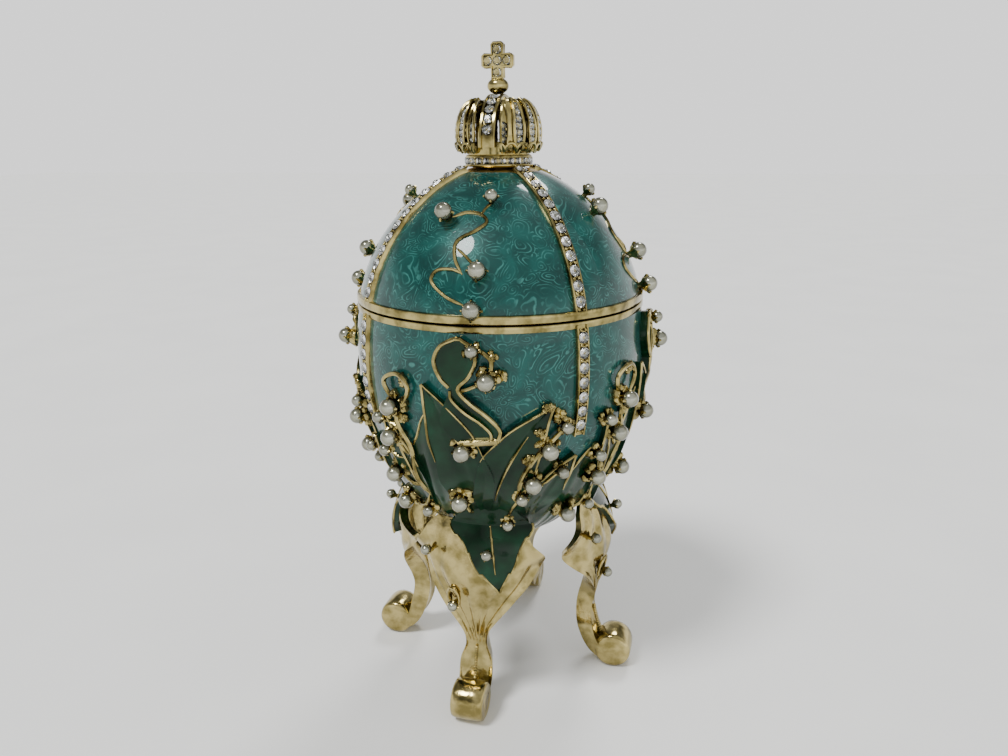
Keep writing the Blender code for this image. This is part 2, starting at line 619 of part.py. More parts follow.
def crown(finish):
    """One casting: ring, ribbed double dome cut by two slots, arch, orb and cross."""
    run = crown_run()
    foot = meridian_point(run)[1]
    ring_top = foot + CROWN_RING_HEIGHT
    crest = ring_top + CROWN_DOME_HEIGHT
    upper = RUN < 0
    seat = []
    for share in (0, CROWN_SEAT_SHARE):
        radius = CROWN_RING_RADIUS * share
        seat.append((radius, float(np.interp(radius, RADIUS[upper], HEIGHT[upper])) + GAP))
    profile = [
        *seat,
        (CROWN_RING_RADIUS, foot + GAP),
        (CROWN_RING_RADIUS, ring_top - CROWN_RING_HEIGHT / 3),
        (CROWN_NECK_RADIUS, ring_top),
    ]
    middle = (CROWN_NECK_RADIUS + CROWN_CREST_RADIUS) / 2
    for i in range(1, CROWN_ROWS + 1):
        share = i / (CROWN_ROWS + 1)
        lift = math.pi * share
        swell = math.sin(lift) ** CROWN_SWELL_POWER
        base = CROWN_NECK_RADIUS + (CROWN_CREST_RADIUS - CROWN_NECK_RADIUS) * share
        height = ring_top + CROWN_DOME_HEIGHT * (1 - math.cos(lift)) / 2
        profile.append((base + (CROWN_DOME_RADIUS - middle) * swell, height))
    profile += [(CROWN_CREST_RADIUS, crest), (0, crest - CROWN_CREST_RADIUS / 2)]

    def gadroon(i, height):
        return -CROWN_RIB_DEPTH if i % 2 and ring_top < height < crest else 0

    body = turned_body("crown", profile, 2 * CROWN_RIBS, finish, gadroon)
    slots = []
    for hand in (-1, 1):
        near, far = ARCH_HALF_WIDTH, ARCH_HALF_WIDTH + SLOT_WIDTH
        low, high = ring_top + SLOT_FOOT_SHARE * CROWN_DOME_HEIGHT, crest + CROWN_DOME_HEIGHT
        deep = CROWN_DOME_RADIUS + CROWN_NECK_RADIUS
        corners = ((near, low), (far, low), (far, high), (near, high))
        ends = [[Vector((hand * x, y, z)) for x, z in corners] for y in (-deep, deep)]
        slots.append(loft(f"slot_{hand}", ends, finish))
    boolean(body, slots, "DIFFERENCE")
    arch_foot = ring_top + ARCH_FOOT_SHARE * CROWN_DOME_HEIGHT
    arch_top = crest + ARCH_RISE - ARCH_THICKNESS / 2
    arch_reach = CROWN_DOME_RADIUS - CROWN_RIB_DEPTH
    sections = []
    for i in range(ARCH_STATIONS):
        swing = math.pi * i / (ARCH_STATIONS - 1)
        section = []
        for out in (-ARCH_THICKNESS / 2, ARCH_THICKNESS / 2):
            y = -(arch_reach + out) * math.cos(swing)
            z = arch_foot + (arch_top - arch_foot + out) * math.sin(swing)
            hands = (-1, 1) if out < 0 else (1, -1)
            section += [Vector((hand * (ARCH_HALF_WIDTH + CROWN_RIB_DEPTH), y, z)) for hand in hands]
        sections.append(section)
    arch = loft("arch", sections, finish)
    orb_seat = (1 - ORB_SINK_SHARE) * ORB_HALF_HEIGHT
    orb_centre = arch_top + ARCH_THICKNESS / 2 + orb_seat
    orb_profile = []
    for i in range(ORB_ROWS + 1):
        tilt = math.pi * i / ORB_ROWS
        orb_profile.append((ORB_RADIUS * math.sin(tilt), orb_centre - ORB_HALF_HEIGHT * math.cos(tilt)))
    orb = turned_body("orb", orb_profile, ORB_SEGMENTS, finish)
    cross_foot = orb_centre + orb_seat - ORB_SINK_SHARE * ORB_HALF_HEIGHT
    arm_height = cross_foot + CROSS_ARM_RISE
    half, span = CROSS_ARM / 2, CROSS_SPAN / 2
    quarter = (
        (half, cross_foot),
        (half, arm_height - half),
        (span, arm_height - half),
        (span, arm_height + half),
        (half, arm_height + half),
        (half, cross_foot + CROSS_HEIGHT),
    )
    outline = [*quarter, *((-x, z) for x, z in reversed(quarter))]
    thick = CROSS_THICKNESS / 2
    cross = loft("cross", [[Vector((x, y, z)) for x, z in outline] for y in (-thick, thick)], finish)
    boolean(body, [arch, orb, cross], "UNION")
    return body


def main():
    clear_scene()
    enamel = material("teal_enamel", ENAMEL_TEAL, 0.15, 0.0)
    gold = material("gold_plate", GOLD, 0.2, 1.0)
    pearl_white = material("pearl_white", PEARL_WHITE, 0.25, 0.0)
    base_shell(enamel)
    lid_shell(enamel)
    crown(gold)
    for side, label in enumerate(SIDES):
        leg(side, gold)
        for half, pearls, sign in (("lid", LID_PEARLS, -1), ("base", BASE_PEARLS, 1)):
            for spot, across, run, diameter, height in pearls:
                place = panel_place(side, across, sign * run)
                pearl(f"pearl_{half}_{label}_{spot}", place, diameter, height, pearl_white)


main()
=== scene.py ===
"""The finished look of the enamel egg-shaped jewelry box: enamel, gold, pearls and crystals.

Lengths are metres. The front panel faces -Y and the floor is Z = 0.
"""

import math
import random

import bmesh
import bpy
import numpy as np
from mathutils import Matrix, Vector


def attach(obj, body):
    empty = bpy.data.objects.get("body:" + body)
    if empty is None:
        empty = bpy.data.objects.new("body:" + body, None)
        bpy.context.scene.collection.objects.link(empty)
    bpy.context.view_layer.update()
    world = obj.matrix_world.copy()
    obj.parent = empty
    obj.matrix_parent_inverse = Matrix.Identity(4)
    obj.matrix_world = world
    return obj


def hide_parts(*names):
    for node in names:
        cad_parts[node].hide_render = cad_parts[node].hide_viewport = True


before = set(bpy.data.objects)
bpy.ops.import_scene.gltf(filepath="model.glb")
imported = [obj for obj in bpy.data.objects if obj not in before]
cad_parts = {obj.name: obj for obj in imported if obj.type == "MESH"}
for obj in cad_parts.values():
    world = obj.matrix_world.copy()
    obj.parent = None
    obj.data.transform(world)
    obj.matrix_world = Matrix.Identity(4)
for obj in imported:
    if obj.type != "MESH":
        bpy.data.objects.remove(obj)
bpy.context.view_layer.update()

MM = 0.001
UP = Vector((0, 0, 1))
SIDES = ("front", "right", "back", "left")
LEG_NODES = [f"leg_{side}" for side in SIDES]
PANEL_TURN = math.pi / 2
HALF_PANEL = math.pi / 4

# The egg's outline, with the seam between its two halves.
SEAM_HEIGHT = 91.7 * MM
SEAM_RADIUS = 31.5 * MM
LID_HEIGHT = 29.0 * MM
LID_POWER = 1.94
LID_TAPER = 0.13
BELLY_BULGE = 1.0 * MM
BELLY_DROP = 11.0 * MM
BASE_DEPTH = 57.0 * MM
WALL = 1.8 * MM
GAP = 0.3 * MM

# The enamel and the castings under it.
ENAMEL_THICKNESS = 0.35 * MM
ENAMEL_SEGMENTS = 192
ENAMEL_PULL = 0.25 * MM
ENAMEL_PULL_REACH = 0.8 * MM
CASTING_INSET = 0.3 * MM
CASTING_SEGMENTS = 96

# The rim, its two bands and the lip that the lid drops over.
BAND_OUT = 0.55 * MM
BAND_DEPTH = 0.7 * MM
BAND_WAVER = 0.06 * MM
LID_BAND_HEIGHT = 1.9 * MM
BASE_BAND_HEIGHT = 1.6 * MM
LIP_HEIGHT = 1.5 * MM
LIP_WALL = 1.1 * MM
LIP_DEPTH = 3.0 * MM
LIP_EDGE = 0.2 * MM
LIP_ROOM = LIP_HEIGHT + 2 * GAP

# The ribs and their crystals.
RIB_HALF_WIDTH = 1.3 * MM
RIB_OUT = 0.75 * MM
BASE_RIB_LENGTH = 23.8 * MM
CRYSTAL_PITCH = 3.0 * MM
CRYSTAL_RADIUS = 1.15 * MM
CRYSTAL_OUT = 0.70 * MM
FIRST_CRYSTAL = 2.4 * MM
LAST_CRYSTAL_ROOM = 0.9 * MM
BEAD_RADIUS = 0.34 * MM

# The pearls and the cups that hold them.
PEARL_RADIUS = 1.77 * MM
SMALL_PEARL_RADIUS = 1.27 * MM
LID_PEARL_SINK = 0.5 * MM
BUDS_PER_CUP = 7

# Places on one panel. A row starts with a share of the half panel, from -1 at the left rib to 1
# at the right one, and millimetres along the surface from the seam. The third number of a pearl
# or bud is the height of its cup in millimetres.
LID_PEARLS = ((0.13, 2.7, 0.8), (0.16, 9.8, 0.8), (-0.27, 21.5, 0.8))
SMALL_LID_PEARLS = ((0.24, 26.0, 0.8),)
BASE_PEARLS = (
    (0.24, 10.0, 1.8), (0.04, 25.0, 0.8), (-0.05, 38.5, 0.8), (-0.56, 17.5, 0.8), (-0.62, 24.5, 0.8),
    (-0.74, 34.5, 0.8), (-0.92, 44.5, 0.8), (0.71, 25.0, 0.8), (0.60, 33.0, 0.8),
)
SMALL_BASE_PEARLS = (
    (0.14, 4.6, 1.6), (0.84, 20.5, 0.8), (0.52, 37.5, 0.8), (0.86, 31.0, 0.8),
    (-0.74, 21.0, 0.8), (-0.78, 29.0, 0.8), (-0.55, 45.0, 0.8), (0.40, 46.5, 0.8),
)
LONE_BUDS = (
    (0.28, 5.8, 1.2), (0.34, 9.4, 1.2), (0.71, 16.6, 1.2), (0.78, 18.2, 1.0),
    (-0.47, 11.8, 0.9), (-0.50, 20.4, 0.9), (0.56, 27.5, 1.0), (0.64, 21.5, 1.2),
)
LID_PEARL_SPOTS = ("band", "low", "high", "top")
BASE_PEARL_SPOTS = ("crook", "heart", "root", "left_high", "left_mid", "left_low", "left_foot",
                    "right_high", "right_low")

# The leaves, and the dark green bed that they grow together into.
LEAVES = (
    # foot (across, run), tip (across, run), width, sideways bow, where along it is fullest
    ((0.02, 46.0), (-0.27, 12.0), 11.5, -2.5, 0.45),
    ((0.24, 46.0), (0.74, 16.0), 11.0, 2.5, 0.45),
    ((-0.52, 45.0), (-0.72, 20.0), 6.5, -1.0, 0.5),
    ((0.68, 45.0), (0.98, 28.0), 7.0, 1.0, 0.45),
)
VEINED_LEAVES = (1, 2)
LEAF_OUT = 1.25 * MM
LEAF_HOLLOW = 0.45 * MM
LEAF_ROOT = 0.5 * MM
LEAF_FOOT_SHARE = 0.12
LEAF_RIM = 0.28 * MM
LEAF_BED = ((-1.0, 33.0), (-0.82, 28.0), (-0.6, 30.0), (-0.42, 25.0), (-0.30, 19.0), (-0.12, 15.5),
            (0.05, 19.0), (0.22, 20.5), (0.36, 24.0), (0.55, 21.0), (0.75, 25.0), (0.88, 31.0), (1.0, 33.0))
LEAF_BED_OUT = 0.35 * MM

# The curled leaf: its left and right edges, and the gold line inside it.
CURLED_LEFT = ((0.01, 2.5), (-0.10, 4.0), (-0.15, 7.0), (-0.10, 10.2), (-0.03, 12.2), (-0.07, 14.6),
               (-0.12, 18.0), (-0.08, 21.2), (0.02, 23.4))
CURLED_RIGHT = ((0.05, 2.5), (0.13, 4.0), (0.16, 6.6), (0.11, 9.6), (0.03, 12.0), (0.11, 14.6),
                (0.24, 17.4), (0.33, 20.2), (0.31, 22.6))
CURLED_LINE = ((-0.03, 12.4), (-0.02, 14.2), (0.07, 16.6), (0.18, 18.6), (0.26, 20.8), (0.26, 22.6))
CURLED_NECK = 0.5
CURLED_OUT = 1.7 * MM

# The stems: (across, run) knots and a radius in millimetres.
LID_STEM_OUT = 0.12 * MM
BASE_STEM_OUT = 1.15 * MM
LID_STEMS = (
    (((0.08, 3.5), (-0.10, 5.2), (-0.25, 8.0), (-0.22, 10.2), (-0.08, 10.6), (0.02, 9.8)), 0.34),
    (((0.02, 9.6), (-0.07, 13.0), (-0.08, 16.5), (0.10, 19.0), (0.20, 21.0), (0.12, 22.8), (-0.05, 23.2),
      (-0.22, 22.0)), 0.36),
    (((0.14, 11.0), (0.02, 13.5), (-0.07, 15.0)), 0.30),
    (((0.12, 22.6), (0.18, 24.6), (0.24, 25.6)), 0.26),
)
BASE_STEMS = (
    (((-0.46, 42.0), (-0.50, 34.0), (-0.46, 27.0), (-0.55, 22.0), (-0.56, 18.0)), 0.5),
    (((-0.50, 30.0), (-0.58, 27.0), (-0.62, 25.0)), 0.42),
    (((-0.48, 38.0), (-0.64, 37.0), (-0.73, 35.0)), 0.42),
    (((-0.50, 43.0), (-0.72, 45.5), (-0.90, 45.0)), 0.42),
    (((-0.56, 18.5), (-0.66, 13.0), (-0.50, 10.8), (-0.40, 13.5), (-0.48, 17.5)), 0.5),
    (((-0.58, 22.5), (-0.68, 21.8), (-0.74, 21.2)), 0.32),
    (((-0.60, 31.0), (-0.70, 30.2), (-0.78, 29.3)), 0.32),
    (((0.54, 40.0), (0.50, 34.0), (0.62, 27.0), (0.78, 22.5), (0.84, 20.8)), 0.5),
    (((0.55, 36.0), (0.58, 34.5), (0.60, 33.2)), 0.4),
    (((0.60, 28.5), (0.66, 26.6), (0.71, 25.4)), 0.4),
    (((0.66, 36.0), (0.78, 33.0), (0.86, 31.3)), 0.34),
    (((0.02, 45.0), (-0.02, 42.0), (-0.05, 39.0)), 0.42),
    (((-0.12, 19.0), (-0.02, 22.5), (0.03, 24.6)), 0.42),
    (((0.14, 4.0), (0.26, 6.0), (0.27, 8.2), (0.24, 9.8)), 0.5),
    (((-0.02, 12.6), (0.08, 12.2), (0.20, 10.8)), 0.42),
    (((0.40, 46.0), (0.44, 42.0), (0.52, 38.0)), 0.34),
    (((-0.50, 41.0), (-0.56, 44.0), (-0.55, 44.9)), 0.32),
)

# The legs.
LEG_TOP_RUN = 48.0 * MM
KNEE_REACH = 26.3 * MM
ANKLE_REACH = 21.4 * MM
FOOT_REACH = 28.6 * MM
FLARE_HALF_WIDTH = 16.5 * MM
FLARE_BEND = 13.4 * MM
FLARE_THICKNESS = 2.2 * MM
FLARE_EDGE = 1.2 * MM
FLARE_END = 0.62
ANKLE_HALF_WIDTH = 2.2 * MM
ANKLE_THICKNESS = 4.0 * MM
FOOT_HALF_WIDTH = 3.75 * MM
FOOT_THICKNESS = 3.4 * MM
SCROLL_RADIUS = 4.45 * MM
# shares of the foot's half width and of the scroll's radius, from the dished end to the drum
SCROLL_RIM = ((-0.96, 0.12), (-0.99, 0.38), (-0.94, 0.48), (-1.0, 0.62), (-0.99, 0.82), (-0.92, 0.94),
              (-0.72, 0.985), (-0.25, 1.0))
LEG_ROW_COUNT = 72
LOOP_ROW = 26
LOOP_ROWS = 4.0
LOOP_ASIDE = -4.2 * MM
LOOP_RADIUS = 1.3 * MM
ANKLE_BEAD_ROWS = range(46, 62)
ANKLE_BEAD_RADIUS = 0.40 * MM
# row of the leg, metres from its middle line and off its face
LEG_PEARLS = ((13, -10.0 * MM, 0.2 * MM), (27, -3.6 * MM, 0.3 * MM), (11, 3.5 * MM, 1.2 * MM))

# The leaf over each flare: rows on the egg, then rows down the leg.
LAP_ROWS = 8
FLARE_ROWS = 25
LAP_LENGTH = 8.0 * MM
LAP_SINK = 0.6 * MM
LAP_OUT = 0.75 * MM
LAP_HALF_WIDTH = 8.6 * MM

# The crown.
CROWN_RING_RADIUS = 7.25 * MM
CROWN_RING_HEIGHT = 2.8 * MM
CROWN_RING_CHANNEL = 0.55 * MM
CROWN_NECK_RADIUS = 6.7 * MM
CROWN_DOME_RADIUS = 9.3 * MM
CROWN_DOME_HEIGHT = 11.4 * MM
CROWN_CREST_RADIUS = 4.2 * MM
DOME_BANDS = 7
DOME_BAND_TURN = 0.40
DOME_BAND_HALF = 0.135
DOME_BAND_CRYSTALS = 6
SCALLOPS = 10
SCALLOP_TURN = 0.29
RING_CRYSTALS = 24
ARCH_CRYSTALS = 14
ARCH_CRYSTAL_OUT = 0.7 * MM
ARCH_HALF_WIDTH = 1.75 * MM
ARCH_RISE = 0.9 * MM
ARCH_THICKNESS = 1.8 * MM
ARCH_SINK = 0.8 * MM
ARCH_REACH = CROWN_DOME_RADIUS - 0.35 * MM
SLOT_WIDTH = 1.1 * MM
DOME_CUT = ARCH_HALF_WIDTH + SLOT_WIDTH
# half the section of the arch: share of its half width, millimetres from its middle line
ARCH_SECTION = ((-1, -0.9), (-1, 0.7), (-0.86, 0.9), (-0.62, 0.9), (-0.55, 0.35))
ORB_RADIUS = 2.3 * MM
ORB_HALF_HEIGHT = 1.7 * MM
CROSS_HEIGHT = 7.3 * MM
CROSS_ARM_RISE = 3.6 * MM
CROSS_SPAN = 7.0 * MM
CROSS_ARM = 2.6 * MM
CROSS_THICKNESS = 1.9 * MM
CROSS_CUT = 0.35 * MM
CROSS_CRYSTALS = ((0, 0), (-2.1, 0), (2.1, 0), (0, 2.2), (0, -2.3))


def around_axis(angle, radius, height):
    return Vector((radius * math.sin(angle), -radius * math.cos(angle), height))


def lid_radius(rise):
    share = np.clip(rise / LID_HEIGHT, 0, 1)
    return SEAM_RADIUS * (1 - share**2) ** (1 / LID_POWER) * (1 - LID_TAPER * share)


def base_radius(drop):
    belly = SEAM_RADIUS + BELLY_BULGE
    upper = belly - BELLY_BULGE * (1 - drop / BELLY_DROP) ** 2
    share = np.clip((drop - BELLY_DROP) / (BASE_DEPTH - BELLY_DROP), 0, 1)
    return np.where(drop < BELLY_DROP, upper, belly * np.sqrt(1 - share**2))


def meridian_of_egg():
    """Run from the seam (down is positive), radius and height of the outer surface."""
    turn = np.linspace(0, math.pi / 2, 400)
    rise = LID_HEIGHT * np.cos(turn)[:-1]
    drop = BASE_DEPTH * np.sin(turn)
    radius = np.concatenate([lid_radius(rise), base_radius(drop)])
    height = SEAM_HEIGHT + np.concatenate([rise, -drop])
    run = np.concatenate([[0], np.cumsum(np.hypot(np.diff(radius), np.diff(height)))])
    return run - run[len(rise)], radius, height


RUN, RADIUS, HEIGHT = meridian_of_egg()
NORMAL_OUT = -np.gradient(HEIGHT, RUN)
NORMAL_UP = np.gradient(RADIUS, RUN)


def meridian_point(run, out=0.0):
    slope = (np.interp(run, RUN, NORMAL_OUT), np.interp(run, RUN, NORMAL_UP))
    length = math.hypot(*slope)
    radius = np.interp(run, RUN, RADIUS) + out * slope[0] / length
    return float(radius), float(np.interp(run, RUN, HEIGHT) + out * slope[1] / length)


def meridian_rows(start, end, rows, out):
    """Profile points down the egg's surface, without the last one."""
    return [meridian_point(run, out) for run in np.linspace(start, end, rows)[:-1]]


def on_egg(angle, run, out=0.0):
    return around_axis(angle, *meridian_point(run, out))


def axes_at(angle, run):
    """The directions out of the egg and down along it at a place."""
    here = on_egg(angle, run)
    return on_egg(angle, run, MM) - here, on_egg(angle, run + MM) - here


def beside(place, aside, along):
    angle, run = place
    return angle + aside / max(meridian_point(run)[0], WALL), run + along


def panel_place(side, across, run):
    return side * PANEL_TURN + across * HALF_PANEL, run


def smooth_path(knots, stations):
    """Rows along a smooth curve through the knots."""
    knots = [np.array(knot, float) for knot in knots]
    ends = [2 * knots[0] - knots[1], *knots, 2 * knots[-1] - knots[-2]]
    rows = []
    for i in range(stations):
        spot = i / (stations - 1) * (len(knots) - 1)
        k = min(int(spot), len(knots) - 2)
        t = spot - k
        a, b, c, d = ends[k : k + 4]
        rows.append(0.5 * (2 * b + (c - a) * t + (2 * a - 5 * b + 4 * c - d) * t**2
                           + (3 * b - a - 3 * c + d) * t**3))
    return rows


# Places worked out from the egg for the crown.
CROWN_RUN = float(np.interp(CROWN_RING_RADIUS, RADIUS[RUN < 0], RUN[RUN < 0]))
CROWN_FOOT = meridian_point(CROWN_RUN)[1]
RING_TOP = CROWN_FOOT + CROWN_RING_HEIGHT
ARCH_FOOT = RING_TOP + 0.2 * CROWN_DOME_HEIGHT
ARCH_TOP = RING_TOP + CROWN_DOME_HEIGHT + ARCH_RISE - ARCH_THICKNESS / 2
ORB_CENTRE = ARCH_TOP + ARCH_THICKNESS / 2 + 0.9 * ORB_HALF_HEIGHT
CROSS_FOOT = ORB_CENTRE + 0.8 * ORB_HALF_HEIGHT
CROSS_CENTRE = CROSS_FOOT + CROSS_ARM_RISE


# Materials.


def linear(code):
    """A hex sRGB colour as linear RGBA."""
    parts = [int(code[i : i + 2], 16) / 255 for i in (1, 3, 5)]
    return tuple(c / 12.92 if c <= 0.04045 else ((c + 0.055) / 1.055) ** 2.4 for c in parts) + (1,)


class Finish:
    """A node material: add() puts in a node, sets its sockets by name, and links what is a socket."""

    def __init__(self, name, **settings):
        self.material = bpy.data.materials.new(name)
        self.material.use_nodes = True
        self.tree = self.material.node_tree
        self.shader = self.tree.nodes["Principled BSDF"]
        self.fill(self.shader, settings)
        self.place = self.add("ShaderNodeTexCoord").outputs["Object"]

    def fill(self, node, settings):
        for key, value in settings.items():
            socket = node.inputs[int(key[1:])] if key[0] == "_" else node.inputs[key.replace("_", " ")]
            if isinstance(value, bpy.types.NodeSocket):
                self.tree.links.new(value, socket)
            else:
                socket.default_value = value

    def add(self, kind, props=None, **settings):
        node = self.tree.nodes.new(kind)
        for key, value in (props or {}).items():
            setattr(node, key, value)
        self.fill(node, settings)
        return node

    def ramp(self, factor, stops):
        node = self.add("ShaderNodeValToRGB", Fac=factor)
        elements = node.color_ramp.elements
        while len(elements) < len(stops):
            elements.new(0.5)
        for element, (place, colour) in zip(elements, stops):
            element.position = place
            element.color = linear(colour) if isinstance(colour, str) else (colour, colour, colour, 1)
        return node.outputs["Color"]

    def noise(self, scale, detail=3.0, rough=0.5, vector=None):
        node = self.add("ShaderNodeTexNoise", Vector=vector or self.place, Scale=scale,
                        Detail=detail, Roughness=rough)
        return node.outputs

    def maths(self, operation, one, other=0.0):
        return self.add("ShaderNodeMath", {"operation": operation}, _0=one, _1=other).outputs[0]

    def vector(self, operation, one, other=None, output="Vector"):
        given = {"_0": one} if other is None else {"_0": one, "_1": other}
        return self.add("ShaderNodeVectorMath", {"operation": operation}, **given).outputs[output]

    def shifted(self, push, reach, vector):
        """The vector moved by a colour, up to reach metres."""
        return self.add("ShaderNodeVectorMath", {"operation": "MULTIPLY_ADD"}, _0=push,
                        _1=(reach, reach, reach), _2=vector).outputs[0]

    def mixed(self, blend, share, one, other):
        return self.add("ShaderNodeMix", {"data_type": "RGBA", "blend_type": blend},
                        _0=share, _6=one, _7=other).outputs[2]

    def paint(self, **values):
        """Link colours or values to the shader, and give back the material."""
        self.fill(self.shader, values)
        return self.material

    def bump(self, height, strength, distance):
        node = self.add("ShaderNodeBump", Height=height, Strength=strength, Distance=distance)
        self.tree.links.new(node.outputs["Normal"], self.shader.inputs["Normal"])


def swirl_enamel():
    """Fired pearlescent enamel: fine comma-shaped strokes under a clear gloss."""
    made = Finish("teal_swirl_enamel", Metallic=0.15, Roughness=0.35, Specular_IOR_Level=0.15,
                  Coat_Weight=1.0, Coat_Roughness=0.03, Coat_IOR=1.31)
    # each cell of a bent pattern holds one stroke that winds out from its middle
    bent = made.shifted(made.noise(120, 1.0, 0.4)["Color"], 0.009, made.place)
    cell = made.add("ShaderNodeTexVoronoi", Vector=bent, Scale=330.0, Randomness=1.0)
    local = made.vector("SUBTRACT", bent, cell.outputs["Position"])
    normal = made.add("ShaderNodeNewGeometry").outputs["Normal"]
    level = made.vector("NORMALIZE", made.vector("CROSS_PRODUCT", normal, (0.0, 0.0, 1.0)))
    aside = made.vector("DOT_PRODUCT", local, level, "Value")
    upward = made.vector("DOT_PRODUCT", local, made.vector("CROSS_PRODUCT", normal, level), "Value")
    angle = made.maths("ARCTAN2", upward, aside)
    reach = made.vector("LENGTH", local, None, "Value")
    phase = made.maths("MULTIPLY", cell.outputs["Color"], 25.0)
    curl = made.maths("ADD", made.maths("MULTIPLY", reach, 9500.0), made.maths("ADD", angle, phase))
    fray = made.maths("MULTIPLY", made.noise(900, 2.0, 0.6)["Fac"], 3.0)
    wave = made.maths("SINE", made.maths("ADD", curl, fray))
    lines = made.ramp(wave, ((0.35, 0.0), (1.0, 1.0)))
    # the strokes come and go in patches over a ground of three teals
    patches = made.ramp(made.noise(480, 1.0, 0.5, bent)["Fac"], ((0.40, 0.05), (0.64, 0.85)))
    light = made.maths("MULTIPLY", lines, patches)
    depth = made.noise(190, 2.0, 0.55, bent)["Fac"]
    ground = made.ramp(depth, ((0.32, "#043733"), (0.50, "#07423d"), (0.68, "#0c4f49")))
    made.bump(light, 0.08, 0.0002)
    return made.paint(Base_Color=made.mixed("MIX", light, ground, linear("#3d7d75")))


def leaf_enamel():
    """Thick dark green enamel, pooled and glossy."""
    made = Finish("green_leaf_enamel", Roughness=0.35, Specular_IOR_Level=0.1, Coat_Weight=1.0,
                  Coat_Roughness=0.03, Coat_IOR=1.25)
    cloud = made.noise(170, 2.0, 0.5)["Fac"]
    made.bump(made.noise(240, 1.0)["Fac"], 0.08, 0.0004)
    return made.paint(Base_Color=made.ramp(cloud, ((0.3, "#021a0a"), (0.5, "#052a15"), (0.7, "#0b3822"))))


def gold(name, light, dark, rough, bumpy=0.15):
    """Bright gold plate over a casting, with soft unevenness."""
    made = Finish(name, Metallic=1.0, IOR=1.5)
    wear = made.noise(260, 3.0, 0.55)["Fac"]
    made.bump(made.noise(420, 2.0)["Fac"], bumpy, 0.0003)
    return made.paint(Base_Color=made.ramp(wear, ((0.35, dark), (0.6, light))),
                      Roughness=made.ramp(wear, ((0.3, rough * 0.7), (0.7, rough * 1.4))))


def pearl_finish():
    """Imitation pearl: a soft white lustre, with painted shade that makes it darker and warmer towards the
    rim as the camera sees it.
    """
    made = Finish("imitation_pearl", Metallic=0.68, Roughness=0.18, Coat_Weight=1.0, Coat_Roughness=0.05)
    # painted shade: the facing ramp darkens the pearl's colour from its middle out to its rim, as seen from
    # the camera, and is multiplied into the body colour
    rim = made.add("ShaderNodeLayerWeight", Blend=0.35).outputs["Facing"]
    body = made.ramp(made.noise(180, 1.0)["Fac"], ((0.3, "#979888"), (0.7, "#adae9d")))
    edge = made.ramp(rim, ((0.02, "#ffffff"), (0.20, "#dcdacc"), (0.60, "#6f6c58")))
    return made.paint(Base_Color=made.mixed("MULTIPLY", 1.0, body, edge))


def foil_finish():
    """The silver foil on the back of a crystal."""
    made = Finish("silver_foil", Metallic=1.0, IOR=1.5)
    wear = made.noise(900, 1.0)["Fac"]
    return made.paint(Base_Color=made.ramp(wear, ((0.3, "#4b4e4a"), (0.7, "#b0b2aa"))),
                      Roughness=made.ramp(wear, ((0.3, 0.12), (0.7, 0.25))))


def crystal_finish():
    """Clear cut crystal."""
    made = Finish("clear_crystal", Transmission_Weight=1.0, IOR=1.5, Roughness=0.0)
    tint = made.noise(300, 1.0)["Fac"]
    return made.paint(Base_Color=made.ramp(tint, ((0.3, "#f4f6f6"), (0.7, "#ffffff"))))


def paper_finish():
    """Plain pale paper, under the box."""
    made = Finish("white_paper_floor", Roughness=0.9)
    grain = made.noise(20, 2.0)["Fac"]
    return made.paint(Base_Color=made.ramp(grain, ((0.3, "#f0f0ee"), (0.7, "#f4f4f2"))))


PEARL = pearl_finish()
CRYSTAL = crystal_finish()
FOIL = foil_finish()
ENAMEL = swirl_enamel()
LEAF = leaf_enamel()
GOLD = gold("gold_plated_trim", "#bbac71", "#6c6137", 0.15)
LEG_GOLD = gold("gold_plated_legs", "#c0af76", "#857847", 0.16, 0.4)
LINING = gold("gold_plated_lining", "#d8bd76", "#c0a055", 0.28)


# Mesh building. A part is a list of points and a list of faces.


def mesh_object(name, points, faces):
    mesh = bpy.data.meshes.new(name)
    mesh.from_pydata([tuple(point) for point in points], [], faces)
    return bpy.data.objects.new(name, mesh)


def placed(made):
    bpy.context.scene.collection.objects.link(made)
    return made


def close_mesh(mesh):
    """Merge what meets at seams and poles, and turn the faces outwards."""
    work = bmesh.new()
    work.from_mesh(mesh)
    bmesh.ops.remove_doubles(work, verts=work.verts, dist=1e-6)
    bmesh.ops.recalc_face_normals(work, faces=work.faces)
    work.to_mesh(mesh)
    work.free()


def shade(mesh, sharp=40):
    """Smooth shading, with edges past the sharp angle kept."""
    mesh.shade_smooth()
    mesh.set_sharp_from_angle(angle=math.radians(sharp))


def declare(made, replaced):
    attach(made, "root")
    if replaced:
        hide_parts(*replaced)
    return made


def piece(name, parts, finish, replaced=(), sharp=40):
    """A mesh piece that rides on the box, made of closed parts."""
    points, faces = [], []
    for more_points, more_faces in parts:
        start = len(points)
        points += list(more_points)
        faces += [tuple(start + i for i in face) for face in more_faces]
    made = placed(mesh_object(name, points, faces))
    close_mesh(made.data)
    made.data.materials.append(finish)
    shade(made.data, sharp)
    return declare(made, replaced)


def sheet_faces(rows, columns, wrap_rows=False, wrap_columns=False, start=0):
    faces = []
    for i in range(rows if wrap_rows else rows - 1):
        for j in range(columns if wrap_columns else columns - 1):
            a, b = i % rows, (i + 1) % rows
            c, d = j % columns, (j + 1) % columns
            faces.append((start + a * columns + c, start + a * columns + d,
                          start + b * columns + d, start + b * columns + c))
    return faces


def lofted(points, around):
    """A part with closed ends from rings of points, so many around."""
    faces = sheet_faces(len(points) // around, around, False, True)
    faces += [tuple(range(around)), tuple(range(len(points) - around, len(points)))]
    return points, faces


def spread(columns):
    """Places across a strip, from -1 to 1."""
    return [2 * j / (columns - 1) - 1 for j in range(columns)]


def mirrored(half):
    """The other half of a section, from its middle back out."""
    return [(-x, y) for x, y in reversed(half)]


